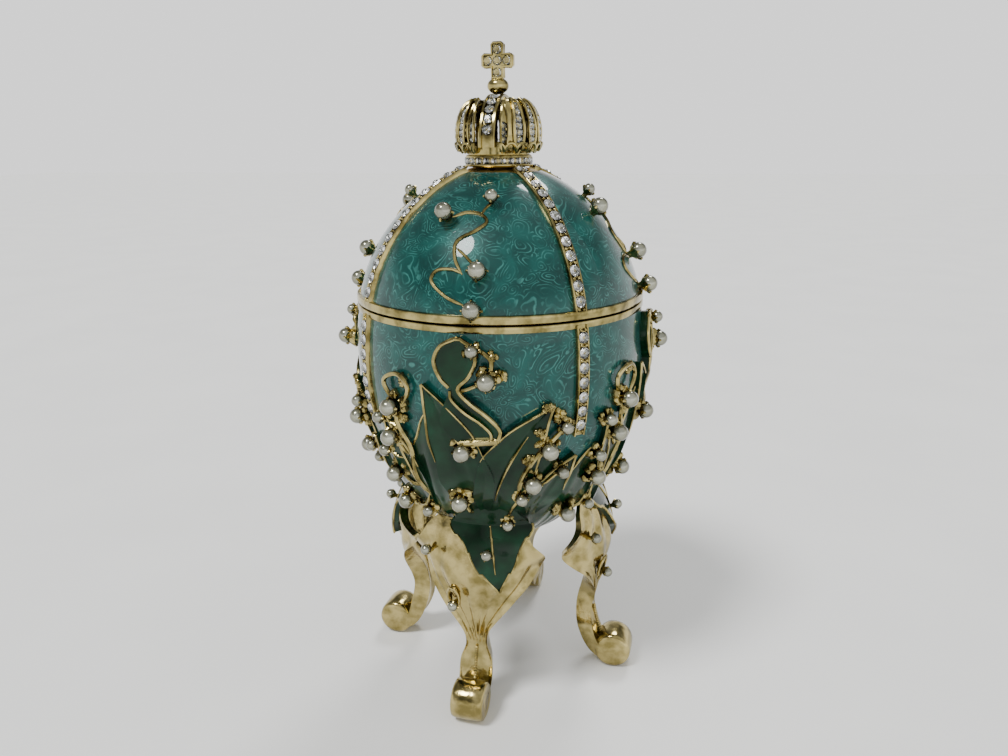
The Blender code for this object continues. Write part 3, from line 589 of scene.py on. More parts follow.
def closed_sheet(face, back, rows, columns):
    """A plate from its face and back points, row by row."""
    faces = sheet_faces(rows, columns)
    shift = rows * columns
    faces += [tuple(shift + i for i in reversed(quad)) for quad in sheet_faces(rows, columns)]
    edge = list(range(columns)) + [i * columns + columns - 1 for i in range(1, rows)]
    edge += [(rows - 1) * columns + j for j in reversed(range(columns - 1))]
    edge += [i * columns for i in reversed(range(1, rows - 1))]
    faces += [(a, b, b + shift, a + shift) for a, b in zip(edge, edge[1:] + edge[:1])]
    return face + back, faces


def turned(profile, segments, wave=None):
    """A closed profile of (radius, height) turned round the axis."""
    points = []
    for radius, height in profile:
        for i in range(segments):
            angle = 2 * math.pi * i / segments
            points.append(around_axis(angle, max(radius, 0) + (wave(angle) if wave else 0), height))
    return points, sheet_faces(len(profile), segments, True, True)


def tube(path, radii, sides=8, up=None):
    """A closed tube along points, with one radius or a radius at each."""
    path = [Vector(p) for p in path]
    radii = radii if hasattr(radii, "__len__") else [radii] * len(path)
    points, normal = [], None
    for i, at in enumerate(path):
        ahead = (path[min(i + 1, len(path) - 1)] - path[max(i - 1, 0)]).normalized()
        guide = Vector(up[i]) if up is not None else (normal or ahead.orthogonal())
        normal = (guide - ahead * guide.dot(ahead)).normalized()
        side = ahead.cross(normal)
        for k in range(sides):
            turn = 2 * math.pi * k / sides
            points.append(at + (side * math.cos(turn) + normal * math.sin(turn)) * radii[i])
    return lofted(points, sides)


def egg_tube(places, radii, outs, sides=8):
    """A tube laid on the egg through (angle, run) places, with one lift or a lift at each."""
    outs = outs if hasattr(outs, "__len__") else [outs] * len(places)
    path = [on_egg(*place, lift) for place, lift in zip(places, outs)]
    return tube(path, radii, sides, [axes_at(*place)[0] for place in places])


def lifted_tube(line, radius, above, sides):
    """A tapered tube along (place, lift) pairs on the egg, a little above them."""
    places = [place for place, _ in line]
    return egg_tube(places, tapered(radius, len(line)), [lift + above for _, lift in line], sides)


def tapered(radius, count):
    """A radius for each station of a tube, drawn out thin at both ends."""
    return [radius * min(1.0, 0.3 + 0.14 * min(k, count - 1 - k)) for k in range(count)]


def layout_tree():
    """Geometry Nodes that put a shape on every point, by the point's own turn and size."""
    tree = bpy.data.node_groups.new("layout", "GeometryNodeTree")
    for name, way, kind in (
        ("Geometry", "INPUT", "NodeSocketGeometry"),
        ("Shape", "INPUT", "NodeSocketObject"),
        ("Finish", "INPUT", "NodeSocketMaterial"),
        ("Geometry", "OUTPUT", "NodeSocketGeometry"),
    ):
        tree.interface.new_socket(name, in_out=way, socket_type=kind)
    new = tree.nodes.new
    given, made = new("NodeGroupInput"), new("NodeGroupOutput")
    points, info = new("GeometryNodeMeshToPoints"), new("GeometryNodeObjectInfo")
    turn, size = new("GeometryNodeInputNamedAttribute"), new("GeometryNodeInputNamedAttribute")
    rotation, copies = new("FunctionNodeEulerToRotation"), new("GeometryNodeInstanceOnPoints")
    real, paint = new("GeometryNodeRealizeInstances"), new("GeometryNodeSetMaterial")
    for node, name, kind in ((turn, "turn", "FLOAT_VECTOR"), (size, "size", "FLOAT")):
        node.data_type = kind
        node.inputs["Name"].default_value = name
    for source, output, target, socket in (
        (given, "Geometry", points, "Mesh"),
        (given, "Shape", info, "Object"),
        (given, "Finish", paint, "Material"),
        (points, "Points", copies, "Points"),
        (info, "Geometry", copies, "Instance"),
        (turn, "Attribute", rotation, "Euler"),
        (rotation, "Rotation", copies, "Rotation"),
        (size, "Attribute", copies, "Scale"),
        (copies, "Instances", real, "Geometry"),
        (real, "Geometry", paint, "Geometry"),
        (paint, "Geometry", made, "Geometry"),
    ):
        tree.links.new(source.outputs[output], target.inputs[socket])
    sockets = {item.name: item.identifier for item in tree.interface.items_tree if item.in_out == "INPUT"}
    return tree, sockets


LAYOUT, LAYOUT_SOCKETS = layout_tree()


def scatter(name, shape, places, finish, replaced=()):
    """Copies of a small shape at (centre, outward axis, along axis, size) places."""
    host = placed(mesh_object(name, [centre for centre, _, _, _ in places], []))
    given = host.data.attributes
    given.new("turn", "FLOAT_VECTOR", "POINT")
    given.new("size", "FLOAT", "POINT")
    for i, (_, out, along, size) in enumerate(places):
        out = Vector(out).normalized()
        side = Vector(along).cross(out).normalized()
        axes = Matrix((side, out.cross(side), out)).transposed()
        given["turn"].data[i].vector = axes.to_euler()
        given["size"].data[i].value = size
    modifier = host.modifiers.new("layout", "NODES")
    modifier.node_group = LAYOUT
    modifier[LAYOUT_SOCKETS["Shape"]] = shape
    modifier[LAYOUT_SOCKETS["Finish"]] = finish
    graph = bpy.context.evaluated_depsgraph_get()
    result = bpy.data.meshes.new_from_object(host.evaluated_get(graph))
    host.modifiers.clear()
    host.data = result
    result.name = name
    return declare(host, replaced)


# Small shapes, one unit in radius, for scatter.


def shape_object(name, points, faces, smooth=True):
    made = mesh_object(name, points, faces)
    close_mesh(made.data)
    if smooth:
        shade(made.data)
    return made


def ring_points(radius, height, sides, shift=0.0):
    turns = [2 * math.pi * (k + shift) / sides for k in range(sides)]
    return [Vector((radius * math.cos(turn), radius * math.sin(turn), height)) for turn in turns]


def ball_shape(name, sides, rings, reach=None):
    """A unit ball, or a lump where reach gives the radius at a turn and tilt."""
    points, faces = [Vector((0, 0, -1))], []
    for r in range(1, rings):
        tilt = math.pi * r / rings
        for k, point in enumerate(ring_points(math.sin(tilt), -math.cos(tilt), sides)):
            points.append(point * reach(2 * math.pi * k / sides, tilt) if reach else point)
    points.append(Vector((0, 0, 1)))
    last = len(points) - 1
    for k in range(sides):
        j = (k + 1) % sides
        faces.append((0, 1 + j, 1 + k))
        faces.append((last, last - sides + k, last - sides + j))
    faces += sheet_faces(rings - 1, sides, False, True, 1)
    return shape_object(name, points, faces)


def bud_reach(turn, tilt):
    """The uneven sides of a bud of cast gold."""
    return 1 + 0.16 * math.cos(3 * turn + 2 * tilt) + 0.10 * math.sin(5 * turn - 3 * tilt)


def crystal_shape():
    """A round crystal: a shallow point below, cut above to a flat table."""
    points = [Vector((0, 0, -0.38))]
    points += ring_points(0.98, 0.02, 12)
    points += ring_points(0.98, 0.12, 12)
    points += ring_points(0.80, 0.34, 6, 0.25)
    points += ring_points(0.50, 0.50, 6, 0.25)
    faces = [(0, 1 + (k + 1) % 12, 1 + k) for k in range(12)]
    faces += sheet_faces(2, 12, False, True, 1)
    for k in range(6):
        a, b, c = 13 + 2 * k, 13 + (2 * k + 1) % 12, 13 + (2 * k + 2) % 12
        faces += [(a, b, 25 + k), (b, c, 25 + (k + 1) % 6), (b, 25 + (k + 1) % 6, 25 + k)]
    faces += sheet_faces(2, 6, False, True, 25)
    faces.append(tuple(range(31, 37)))
    return shape_object("crystal_shape", points, faces, False)


def foil_shape():
    """The faceted dish behind a crystal."""
    points = [Vector((0, 0, -0.58)), Vector((0, 0, -0.44))]
    points += ring_points(1.0, -0.04, 12) + ring_points(1.04, 0.06, 12)
    faces = [(0, 14 + k, 14 + (k + 1) % 12) for k in range(12)]
    faces += [(1, 2 + (k + 1) % 12, 2 + k) for k in range(12)]
    faces += sheet_faces(2, 12, False, True, 2)
    return shape_object("foil_shape", points, faces, False)


def claw_shape():
    """A cup for a pearl: a flared calyx with four pointed petals and a grain at each tip."""
    sides = 16
    # radius, height, and how far the petals spread and rise there
    profile = ((0.40, -0.6, 0, 0), (0.50, 0.0, 0, 0), (0.82, 0.30, 0.10, 0), (1.04, 0.68, 0.10, 0.20),
               (0.66, 0.36, 0, 0), (0.0, 0.16, 0, 0))
    points = []
    for radius, height, spread, rise in profile:
        for k in range(sides):
            turn = 2 * math.pi * k / sides
            petal = math.cos(4 * turn)
            reach = radius * (1 + spread * petal)
            points.append(Vector((reach * math.cos(turn), reach * math.sin(turn), height + rise * petal)))
    faces = sheet_faces(len(profile), sides, False, True)
    faces.append(tuple(range(sides)))
    for k in range(4):
        turn = math.pi / 2 * k
        path = [Vector((reach * math.cos(turn), reach * math.sin(turn), height))
                for reach, height in ((0.92, 0.55), (1.12, 0.86), (1.06, 1.12))]
        grain, grain_faces = tube(path, (0.13, 0.19, 0.08), 5)
        faces += [tuple(len(points) + i for i in face) for face in grain_faces]
        points += grain
    return shape_object("claw_shape", points, faces)


# The egg.


def enamel_depth(angle, run):
    """The enamel's face: a little hollow next to each rib, where the glaze pulled back."""
    off_rib = abs(angle % PANEL_TURN - HALF_PANEL)
    reach = off_rib * meridian_point(run)[0]
    return -ENAMEL_PULL * math.exp(-max(reach - RIB_HALF_WIDTH, 0) / ENAMEL_PULL_REACH)


def enamel_skin(start, end, rows):
    """A closed layer of enamel: its outer face down the egg, and its inner face back up."""
    points = []
    runs = np.linspace(start, end, rows)
    for order, inner in ((runs, False), (runs[::-1], True)):
        for run in order:
            for i in range(ENAMEL_SEGMENTS):
                angle = 2 * math.pi * i / ENAMEL_SEGMENTS
                points.append(on_egg(angle, run, -ENAMEL_THICKNESS if inner else enamel_depth(angle, run)))
    return points, sheet_faces(2 * rows, ENAMEL_SEGMENTS, True, True)


def lid_pieces():
    bottom = SEAM_HEIGHT + GAP / 2
    crest = SEAM_HEIGHT + LID_HEIGHT
    profile = [
        (0.0, crest - WALL), *reversed(meridian_rows(-LIP_ROOM, RUN[0], 31, -WALL)),
        (meridian_point(0, -WALL)[0], bottom), (meridian_point(0, -LIP_EDGE)[0], bottom),
        *meridian_rows(-0.5 * MM, RUN[0], 40, -CASTING_INSET), (0.0, crest - CASTING_INSET)]
    piece("lid_casting", [turned(profile, CASTING_SEGMENTS)], LINING, ["lid_shell"])
    skin = enamel_skin(-LID_BAND_HEIGHT * 0.7, CROWN_RUN + 2.0 * MM, 44)
    piece("lid_enamel", [skin], ENAMEL, ["lid_shell"])


def base_pieces():
    top = SEAM_HEIGHT - GAP / 2
    bottom = SEAM_HEIGHT - BASE_DEPTH
    lip_top = SEAM_HEIGHT + LIP_HEIGHT
    lip = meridian_point(-LIP_ROOM, -WALL)[0] - GAP
    bore = lip - LIP_WALL
    profile = [
        (0.0, bottom + CASTING_INSET), *reversed(meridian_rows(0.5 * MM, RUN[-1], 60, -CASTING_INSET)),
        (meridian_point(0, -CASTING_INSET)[0], top), (lip, top), (lip, lip_top - LIP_EDGE),
        (lip - LIP_EDGE, lip_top), (bore + LIP_EDGE, lip_top), (bore, lip_top - LIP_EDGE),
        (bore, SEAM_HEIGHT - LIP_DEPTH), *meridian_rows(LIP_DEPTH + 1.6 * MM, RUN[-1], 40, -WALL),
        (0.0, bottom + WALL)]
    piece("base_casting", [turned(profile, CASTING_SEGMENTS)], LINING, ["base_shell"])
    skin = enamel_skin(BASE_BAND_HEIGHT * 0.7, RUN[-1] - 4 * MM, 60)
    piece("base_enamel", [skin], ENAMEL, ["base_shell"])


def band_profile(low, high, rounding):
    """A rolled band: a flat outer face with rounded edges."""
    inner = SEAM_RADIUS - BAND_DEPTH
    face = SEAM_RADIUS + BAND_OUT
    return [(inner, low), (face - rounding, low), (face - 0.3 * rounding, low + 0.3 * rounding),
            (face, low + rounding), (face, high - rounding), (face - 0.3 * rounding, high - 0.3 * rounding),
            (face - rounding, high), (inner, high)]


def band_waver(angle):
    """How far the cast bands lie inside a true circle."""
    return BAND_WAVER * (0.5 * math.sin(7 * angle + 1) + 0.5 * math.sin(11 * angle + 2) - 1)


def band_pieces():
    for name, low, high, rounding, shell in (
        ("lid_band", SEAM_HEIGHT + GAP / 2, SEAM_HEIGHT + LID_BAND_HEIGHT, 0.35 * MM, "lid_shell"),
        ("base_band", SEAM_HEIGHT - BASE_BAND_HEIGHT, SEAM_HEIGHT - GAP / 2, 0.3 * MM, "base_shell"),
    ):
        band = turned(band_profile(low, high, rounding), 160, band_waver)
        piece(name, [band], GOLD, [shell])


def rib_part(angle, start, end):
    """A channel with two thin raised edges."""
    half, lift = RIB_HALF_WIDTH, RIB_OUT
    section = ((-half, -0.8 * MM), (-half, lift * 0.8), (-half + 0.12 * MM, lift), (-half + 0.30 * MM, lift),
               (-half + 0.42 * MM, lift * 0.8), (-half + 0.48 * MM, 0.32 * MM))
    section = (*section, *mirrored(section))
    points = []
    for run in np.linspace(start, end, 40):
        for at, out in section:
            points.append(on_egg(*beside((angle, run), at, 0), out))
    return lofted(points, len(section))


def rib_settings(angle, start, end):
    """The crystals along one rib, with four small beads round each."""
    crystals, beads = [], []
    way = 1 if end > start else -1
    first = start + way * FIRST_CRYSTAL
    for k in range(int((abs(end - start) - 2.2 * MM) / CRYSTAL_PITCH) + 1):
        run = first + way * k * CRYSTAL_PITCH
        if way * (end - run) < LAST_CRYSTAL_ROOM:
            continue
        out, along = axes_at(angle, run)
        crystals.append((on_egg(angle, run, CRYSTAL_OUT), out, along, CRYSTAL_RADIUS))
        for aside in (-0.55 * MM, 0.55 * MM):
            for step in (-0.5, 0.5):
                spot = beside((angle, run), aside, step * CRYSTAL_PITCH)
                beads.append((on_egg(*spot, 0.62 * MM), out, along, BEAD_RADIUS))
    return crystals, beads


def rib_pieces():
    crystals, beads = [], []
    for name, start, end, shell in (
        ("lid_ribs", -LID_BAND_HEIGHT * 0.6, CROWN_RUN + RIB_HALF_WIDTH, "lid_shell"),
        ("base_ribs", BASE_BAND_HEIGHT * 0.6, BASE_RIB_LENGTH, "base_shell"),
    ):
        angles = [(side + 0.5) * PANEL_TURN for side in range(4)]
        for angle in angles:
            more_crystals, more_beads = rib_settings(angle, start, end)
            crystals += more_crystals
            beads += more_beads
        piece(name, [rib_part(angle, start, end) for angle in angles], GOLD, [shell])
    return crystals, beads


# The leaves and stems.


def bowed(foot, tip, bow, share):
    """A place along a bowed line on the egg, with the direction that leads to the tip."""
    reach = (meridian_point(foot[1])[0] + meridian_point(tip[1])[0]) / 2
    step = Vector(((tip[0] - foot[0]) * reach, tip[1] - foot[1]))
    side = Vector((step.y, -step.x)).normalized()
    shift = 4 * bow * share * (1 - share)
    place = (foot[0] + (tip[0] - foot[0]) * share + side.x * shift / reach,
             foot[1] + (tip[1] - foot[1]) * share + side.y * shift)
    return place, (step + side * 4 * bow * (1 - 2 * share)).normalized()


def leaf_half(width, fullest, share):
    """Half the width of a leaf, a share of the way from its foot to its tip."""
    taper = math.log(0.5) / math.log(LEAF_FOOT_SHARE + (1 - LEAF_FOOT_SHARE) * fullest)
    swell = math.sin(math.pi * min(LEAF_FOOT_SHARE + (1 - LEAF_FOOT_SHARE) * share, 1) ** taper)
    return max(width / 2 * swell, 0.12 * MM)


def leaf_parts(side, foot, tip, width, bow, fullest, n):
    """A leaf blade with a wavy edge, its gold rim and, on some leaves, its vein."""
    rows, columns = 36, 13
    seed = n * 1.7
    foot = panel_place(side, foot[0], foot[1] * MM)
    tip = panel_place(side, tip[0], tip[1] * MM)
    top, under, left, right, spine = [], [], [], [], []
    for i in range(rows):
        share = i / (rows - 1)
        place, heading = bowed(foot, tip, bow * MM, share)
        across = Vector((heading.y, -heading.x))
        half = leaf_half(width * MM, fullest, share)
        half *= 1 + 0.05 * math.sin(9 * share + seed) + 0.03 * math.sin(21 * share + 2 * seed)
        lift = LEAF_OUT * min(1, 0.35 + 1.8 * share)
        for at in spread(columns):
            spot = beside(place, across.x * half * at, across.y * half * at)
            hollow = LEAF_HOLLOW * (1 - abs(at) ** 2.2) + 0.25 * MM * math.exp(-(at / 0.10) ** 2)
            ripple = 0.10 * MM * math.sin(14 * share + 3 * at + seed) * abs(at)
            top.append(on_egg(*spot, lift - hollow + ripple))
            under.append(on_egg(*spot, -LEAF_ROOT))
        for hand, line in ((-1, left), (1, right)):
            line.append((beside(place, across.x * half * hand, across.y * half * hand), lift))
        spine.append((place, lift - LEAF_HOLLOW))
    bare = rows // 2
    rim = left[bare:] + list(reversed(right[bare:]))
    trims = [lifted_tube(rim, LEAF_RIM, 0.05 * MM, 7)]
    if n in VEINED_LEAVES:
        trims.append(lifted_tube(spine[int(rows * 0.2) : int(rows * 0.8)], LEAF_RIM, 0.12 * MM, 6))
    return closed_sheet(top, under, rows, columns), trims


def curled_leaf_parts(side):
    """The curled leaf: a round loop, a neck and a blade that widens to a rolled gold edge."""
    rows, columns = 41, 13
    left, right = smooth_path(CURLED_LEFT, rows), smooth_path(CURLED_RIGHT, rows)
    top, under = [], []
    for one, other in zip(left, right):
        for at in spread(columns):
            across, run = (one + other) / 2 + (other - one) / 2 * at
            place = panel_place(side, across, run * MM)
            top.append(on_egg(*place, CURLED_OUT - LEAF_HOLLOW * (1 - abs(at) ** 2.2)))
            under.append(on_egg(*place, -LEAF_ROOT))
    rim = [*reversed(left[: int(rows * CURLED_NECK)]), *right]
    foot = [right[-1] + (left[-1] - right[-1]) * k / 6 for k in range(7)]
    inner = smooth_path(CURLED_LINE, 20)
    trims = []
    for line, radius in ((rim, 0.42 * MM), (foot, 0.62 * MM), (inner, 0.34 * MM)):
        places = [panel_place(side, across, run * MM) for across, run in line]
        trims.append(egg_tube(places, radius, CURLED_OUT + 0.05 * MM))
    return closed_sheet(top, under, rows, columns), trims


def trimmed_pieces(name, trim_name, leaves, replaced):
    """The blades of (blade, trims) leaves as one piece, and their gold trims as another."""
    piece(name, [blade for blade, _ in leaves], LEAF, replaced, 60)
    piece(trim_name, [trim for _, trims in leaves for trim in trims], GOLD, replaced)


def leaf_pieces():
    leaves = []
    for side in range(4):
        leaves += [leaf_parts(side, *form, n) for n, form in enumerate(LEAVES)]
        leaves.append(curled_leaf_parts(side))
    trimmed_pieces("leaves", "leaf_trim", leaves, ["base_shell"])


def leaf_bed_pieces():
    """The green bed below the leaves, from its scalloped border to the bottom of the egg."""
    knots = smooth_path(LEAF_BED, 97)
    rows, columns = 30, 4 * (len(knots) - 1)
    end = RUN[-1] - 3 * MM
    points = []
    for inner, order in ((False, range(rows)), (True, reversed(range(rows)))):
        for r in order:
            share = r / (rows - 1)
            for side in range(4):
                for across, border in knots[:-1]:
                    run = border * MM + (end - border * MM) * share
                    face = LEAF_BED_OUT - 0.12 * MM * math.sin(30 * across + 9 * share)
                    points.append(on_egg(*panel_place(side, across, run), -CASTING_INSET if inner else face))
    bed = points, sheet_faces(2 * rows, columns, True, True)
    trims = []
    for side in range(4):
        places = [panel_place(side, across, border * MM) for across, border in knots]
        trims.append(egg_tube(places, 0.24 * MM, 0.32 * MM, 6))
    trimmed_pieces("leaf_bed", "leaf_bed_trim", [(bed, trims)], ["base_shell"])


def stem_part(side, knots, radius, sign, out):
    """A stem along a smooth curve through its knots, with its foot sunk in."""
    stations = 8 * len(knots)
    path = smooth_path(knots, stations)
    places = [panel_place(side, across, sign * run * MM) for across, run in path]
    outs = [out * min(1.0, 0.2 + 0.1 * k) for k in range(stations)]
    return egg_tube(places, tapered(radius * MM, stations), outs)


def stem_pieces():
    for name, stems, sign, shell, out in (
        ("lid_stems", LID_STEMS, -1, "lid_shell", LID_STEM_OUT),
        ("base_stems", BASE_STEMS, 1, "base_shell", BASE_STEM_OUT),
    ):
        parts = [stem_part(side, *stem, sign, out) for side in range(4) for stem in stems]
        piece(name, parts, GOLD, [shell])


# The pearls.


def sized(rows, radius):
    """Rows of a table as (across, run, pearl radius, cup height)."""
    return [(across, run, radius, height * MM) for across, run, height in rows]


def pearl_places(rows, sign, sink=0.0):
    """Places of the pearls on all four panels, and of their cups. Sink sets them nearer the egg."""
    pearls, cups = [], []
    for side in range(4):
        for across, run, radius, height in rows:
            place = panel_place(side, across, sign * run * MM)
            out, along = axes_at(*place)
            pearls.append((on_egg(*place, height + GAP + radius - sink), out, along, radius))
            foot = on_egg(*place, height + GAP - sink - 0.02 * radius)
            cups.append((foot, out, along + 0.6 * along.cross(out), radius))
    return pearls, cups


def leg_pearl_places():
    """Two small pearls on the left of each flare and one on the leaf over it, and their cups."""
    pearls, cups = [], []
    radius = SMALL_PEARL_RADIUS * 0.9
    for side in range(4):
        turn = side * PANEL_TURN
        for i, at, lift in LEG_PEARLS:
            foot = on_leg(turn, i, at, lift)
            out = (leg_point(turn, i, at, 9 * MM) - foot).normalized()
            pearls.append((foot + out * SMALL_PEARL_RADIUS, out, UP, radius))
            cups.append((foot, out, Vector((0.3, 0, 1)), radius))
    return pearls, cups


def bud_places(rows, near, far):
    """Places of small gold buds, near to far pearl radii from the middle of each place."""
    draw = random.Random(7)
    buds = []
    for side in range(4):
        for across, run, radius, height in rows:
            place = panel_place(side, across, run * MM)
            lift = 0.9 * height + draw.uniform(-0.3, 0.3) * MM
            first = draw.uniform(0, 2 * math.pi)
            for k in range(BUDS_PER_CUP):
                turn = first + 2 * math.pi * k / BUDS_PER_CUP + draw.uniform(-0.4, 0.4)
                off = radius * draw.uniform(near, far)
                spot = beside(place, off * math.cos(turn), off * math.sin(turn))
                size = radius * draw.uniform(0.42, 0.68)
                along = Vector((draw.uniform(-1, 1), draw.uniform(-1, 1), draw.uniform(-1, 1)))
                buds.append((on_egg(*spot, lift), axes_at(*place)[0], along, size))
    return buds


def set_pearls(name, ball, claw, places, nodes, casting):
    """Pearls that stand for their own nodes, and the claws cast in one with a part."""
    pearls, cups = places
    scatter(name + "_pearls", ball, pearls, PEARL, nodes)
    scatter(name + "_claws", claw, cups, GOLD, casting)


def pearl_pieces():
    lid_rows = sized(LID_PEARLS, PEARL_RADIUS) + sized(SMALL_LID_PEARLS, SMALL_PEARL_RADIUS)
    lid_nodes = [f"pearl_lid_{side}_{spot}" for side in SIDES for spot in LID_PEARL_SPOTS]
    base_rows = sized(BASE_PEARLS, PEARL_RADIUS) + sized(SMALL_BASE_PEARLS, SMALL_PEARL_RADIUS)
    base_nodes = [f"pearl_base_{side}_{spot}" for side in SIDES for spot in BASE_PEARL_SPOTS]
    ball = ball_shape("pearl_ball", 20, 12)
    claw = claw_shape()
    set_pearls("lid", ball, claw, pearl_places(lid_rows, -1, LID_PEARL_SINK), lid_nodes, ["lid_shell"])
    set_pearls("base", ball, claw, pearl_places(base_rows, 1), base_nodes, ["base_shell"])
    buds = bud_places(base_rows, 0.80, 1.30) + bud_places(sized(LONE_BUDS, SMALL_PEARL_RADIUS), 0.05, 0.85)
    bud = ball_shape("bud_shape", 9, 6, bud_reach)
    scatter("base_buds", bud, buds, GOLD, ["base_shell"])
    set_pearls("leg", ball, claw, leg_pearl_places(), LEG_NODES, LEG_NODES)


# The legs.


def leg_rows():
    """Rows down the leg: reach, height, half width, thickness and the bend of the width."""
    top_reach, top = meridian_point(LEG_TOP_RUN, GAP + FLARE_EDGE / 2)
    brow = (top_reach + KNEE_REACH) / 2
    turn_in = KNEE_REACH - ANKLE_REACH
    step = FOOT_REACH - ANKLE_REACH
    floor = FOOT_THICKNESS / 2 + 0.35 * MM
    wide, slim, foot = FLARE_HALF_WIDTH, ANKLE_HALF_WIDTH, FOOT_HALF_WIDTH
    knots = (
        (top_reach, top, 0.55 * wide, FLARE_EDGE, top_reach),
        (brow, 0.90 * top, 0.80 * wide, FLARE_THICKNESS, brow),
        (KNEE_REACH, 0.75 * top, wide, FLARE_THICKNESS, FLARE_BEND),
        (KNEE_REACH - 0.25 * turn_in, 0.61 * top, 0.55 * wide, FLARE_THICKNESS, FLARE_BEND),
        (KNEE_REACH - 0.75 * turn_in, 0.46 * top, 1.5 * slim, ANKLE_THICKNESS, FLARE_BEND),
        (ANKLE_REACH, 0.34 * top, slim, ANKLE_THICKNESS, FLARE_BEND),
        (ANKLE_REACH + 0.10 * step, 0.23 * top, 0.90 * foot, ANKLE_THICKNESS, FLARE_BEND),
        (ANKLE_REACH + 0.42 * step, 0.11 * top, 0.93 * foot, FOOT_THICKNESS, FLARE_BEND),
        (FOOT_REACH, floor, 0.85 * foot, FOOT_THICKNESS, FLARE_BEND),
    )
    return smooth_path(knots, LEG_ROW_COUNT)


def leg_normals(rows):
    """The direction out of the leg's face at each row, as (outward, up)."""
    normals = []
    for i in range(len(rows)):
        step = rows[min(i + 1, len(rows) - 1)][:2] - rows[max(i - 1, 0)][:2]
        normals.append(np.array((-step[1], step[0])) / np.hypot(*step))
    return normals


LEG_ROWS = leg_rows()
LEG_NORMALS = leg_normals(LEG_ROWS)


def leg_point(turn, i, at, proud):
    """A place at row i of a leg: at metres from its middle line, proud metres from its middle skin."""
    reach, height, _, _, bend = LEG_ROWS[i]
    outward, up = LEG_NORMALS[i]
    radius = bend + outward * proud
    swing = at / bend
    middle = around_axis(turn, reach - bend + radius * math.cos(swing), height + up * proud)
    return middle + around_axis(turn + math.pi / 2, radius * math.sin(swing), 0)


def on_leg(turn, i, at, lift):
    """A place on the front of a leg at row i, lifted off its face."""
    return leg_point(turn, i, at, LEG_ROWS[i][3] / 2 + lift)


def leg_body(turn):
    """The cast leg: flutes that gather at the ankle, a raised rim, and a hollow back."""
    columns = 41
    points = []
    for i, (_, _, half, thick, _) in enumerate(LEG_ROWS):
        share = i / (LEG_ROW_COUNT - 1)
        on_flare = share < FLARE_END
        fade = min(1, share * 6)
        blend = min(1, abs(share - FLARE_END) / 0.08)
        wave = math.sin(2 * math.pi * share * 5.5 + 0.6)
        lobes = 1 + 0.05 * wave * max(0, 1 - share * 2.2) * min(1, share * 8)
        for at in [-at for at in spread(columns)]:
            flute = 0.5 * (1 - math.cos(2 * math.pi * 3 * at)) if on_flare else 1 - abs(at) ** 1.5
            depth = (0.55 if on_flare else -0.35) * MM * fade * flute
            rim = 0.35 * MM * math.exp(-((1 - abs(at)) / 0.12) ** 2) * fade
            proud = thick / 2 - depth * blend + (rim - 0.35 * MM) * fade
            points.append(leg_point(turn, i, at * half * lobes, proud))
        for at in spread(columns):
            back = -thick / 2 + 0.25 * MM * (1 - at * at)
            points.append(leg_point(turn, i, at * half * lobes * 0.97, back))
    return lofted(points, 2 * columns)


def scroll_body(turn):
    """The rolled foot: a drum with dished ends that stands on the floor."""
    around = 48
    points = []
    for shift, size in (*SCROLL_RIM, *mirrored(SCROLL_RIM)):
        aside = around_axis(turn + math.pi / 2, FOOT_HALF_WIDTH * shift, 0)
        radius = SCROLL_RADIUS * size
        for k in range(around):
            roll = 1.5 * math.pi + 2 * math.pi * k / around
            height = max(SCROLL_RADIUS + radius * math.sin(roll), 0.0)
            points.append(around_axis(turn, FOOT_REACH + radius * math.cos(roll), height) + aside)
    return lofted(points, around)


def leg_pieces():
    """The four castings, each with a small open loop on its flare. Returns the ankles' beads."""
    beads = []
    for side, label in enumerate(SIDES):
        turn = side * PANEL_TURN
        loop = []
        for k in range(15):
            swing = 2 * math.pi * k / 16
            row = int(LOOP_ROW + LOOP_ROWS * math.cos(swing))
            loop.append(on_leg(turn, row, LOOP_ASIDE + LOOP_RADIUS * math.sin(swing), 0.1 * MM))
        parts = [leg_body(turn), scroll_body(turn), tube(loop, 0.35 * MM, 7)]
        piece(f"leg_{label}_casting", parts, LEG_GOLD, [f"leg_{label}"], 50)
        for i in ANKLE_BEAD_ROWS:
            spot = on_leg(turn, i, 0.0, 0.12 * MM)
            beads.append((spot, leg_point(turn, i, 0.0, 5 * MM) - spot, UP, ANKLE_BEAD_RADIUS))
    return beads


def lap_point(turn, n, at, lift):
    """A place at row n of the leaf over a leg: on the egg at first, then down the flare."""
    if n < LAP_ROWS:
        early = n / LAP_ROWS
        run = LEG_TOP_RUN - (1 - early) * LAP_LENGTH
        out = (GAP + FLARE_EDGE + lift + LAP_SINK) * early - LAP_SINK
        return on_egg(turn + at / meridian_point(run)[0], run, out)
    return on_leg(turn, lap_leg_row(n), at, lift)


def lap_leg_row(n):
    return 1 + int(max(n - LAP_ROWS, 0) / (FLARE_ROWS - 1) * 20)


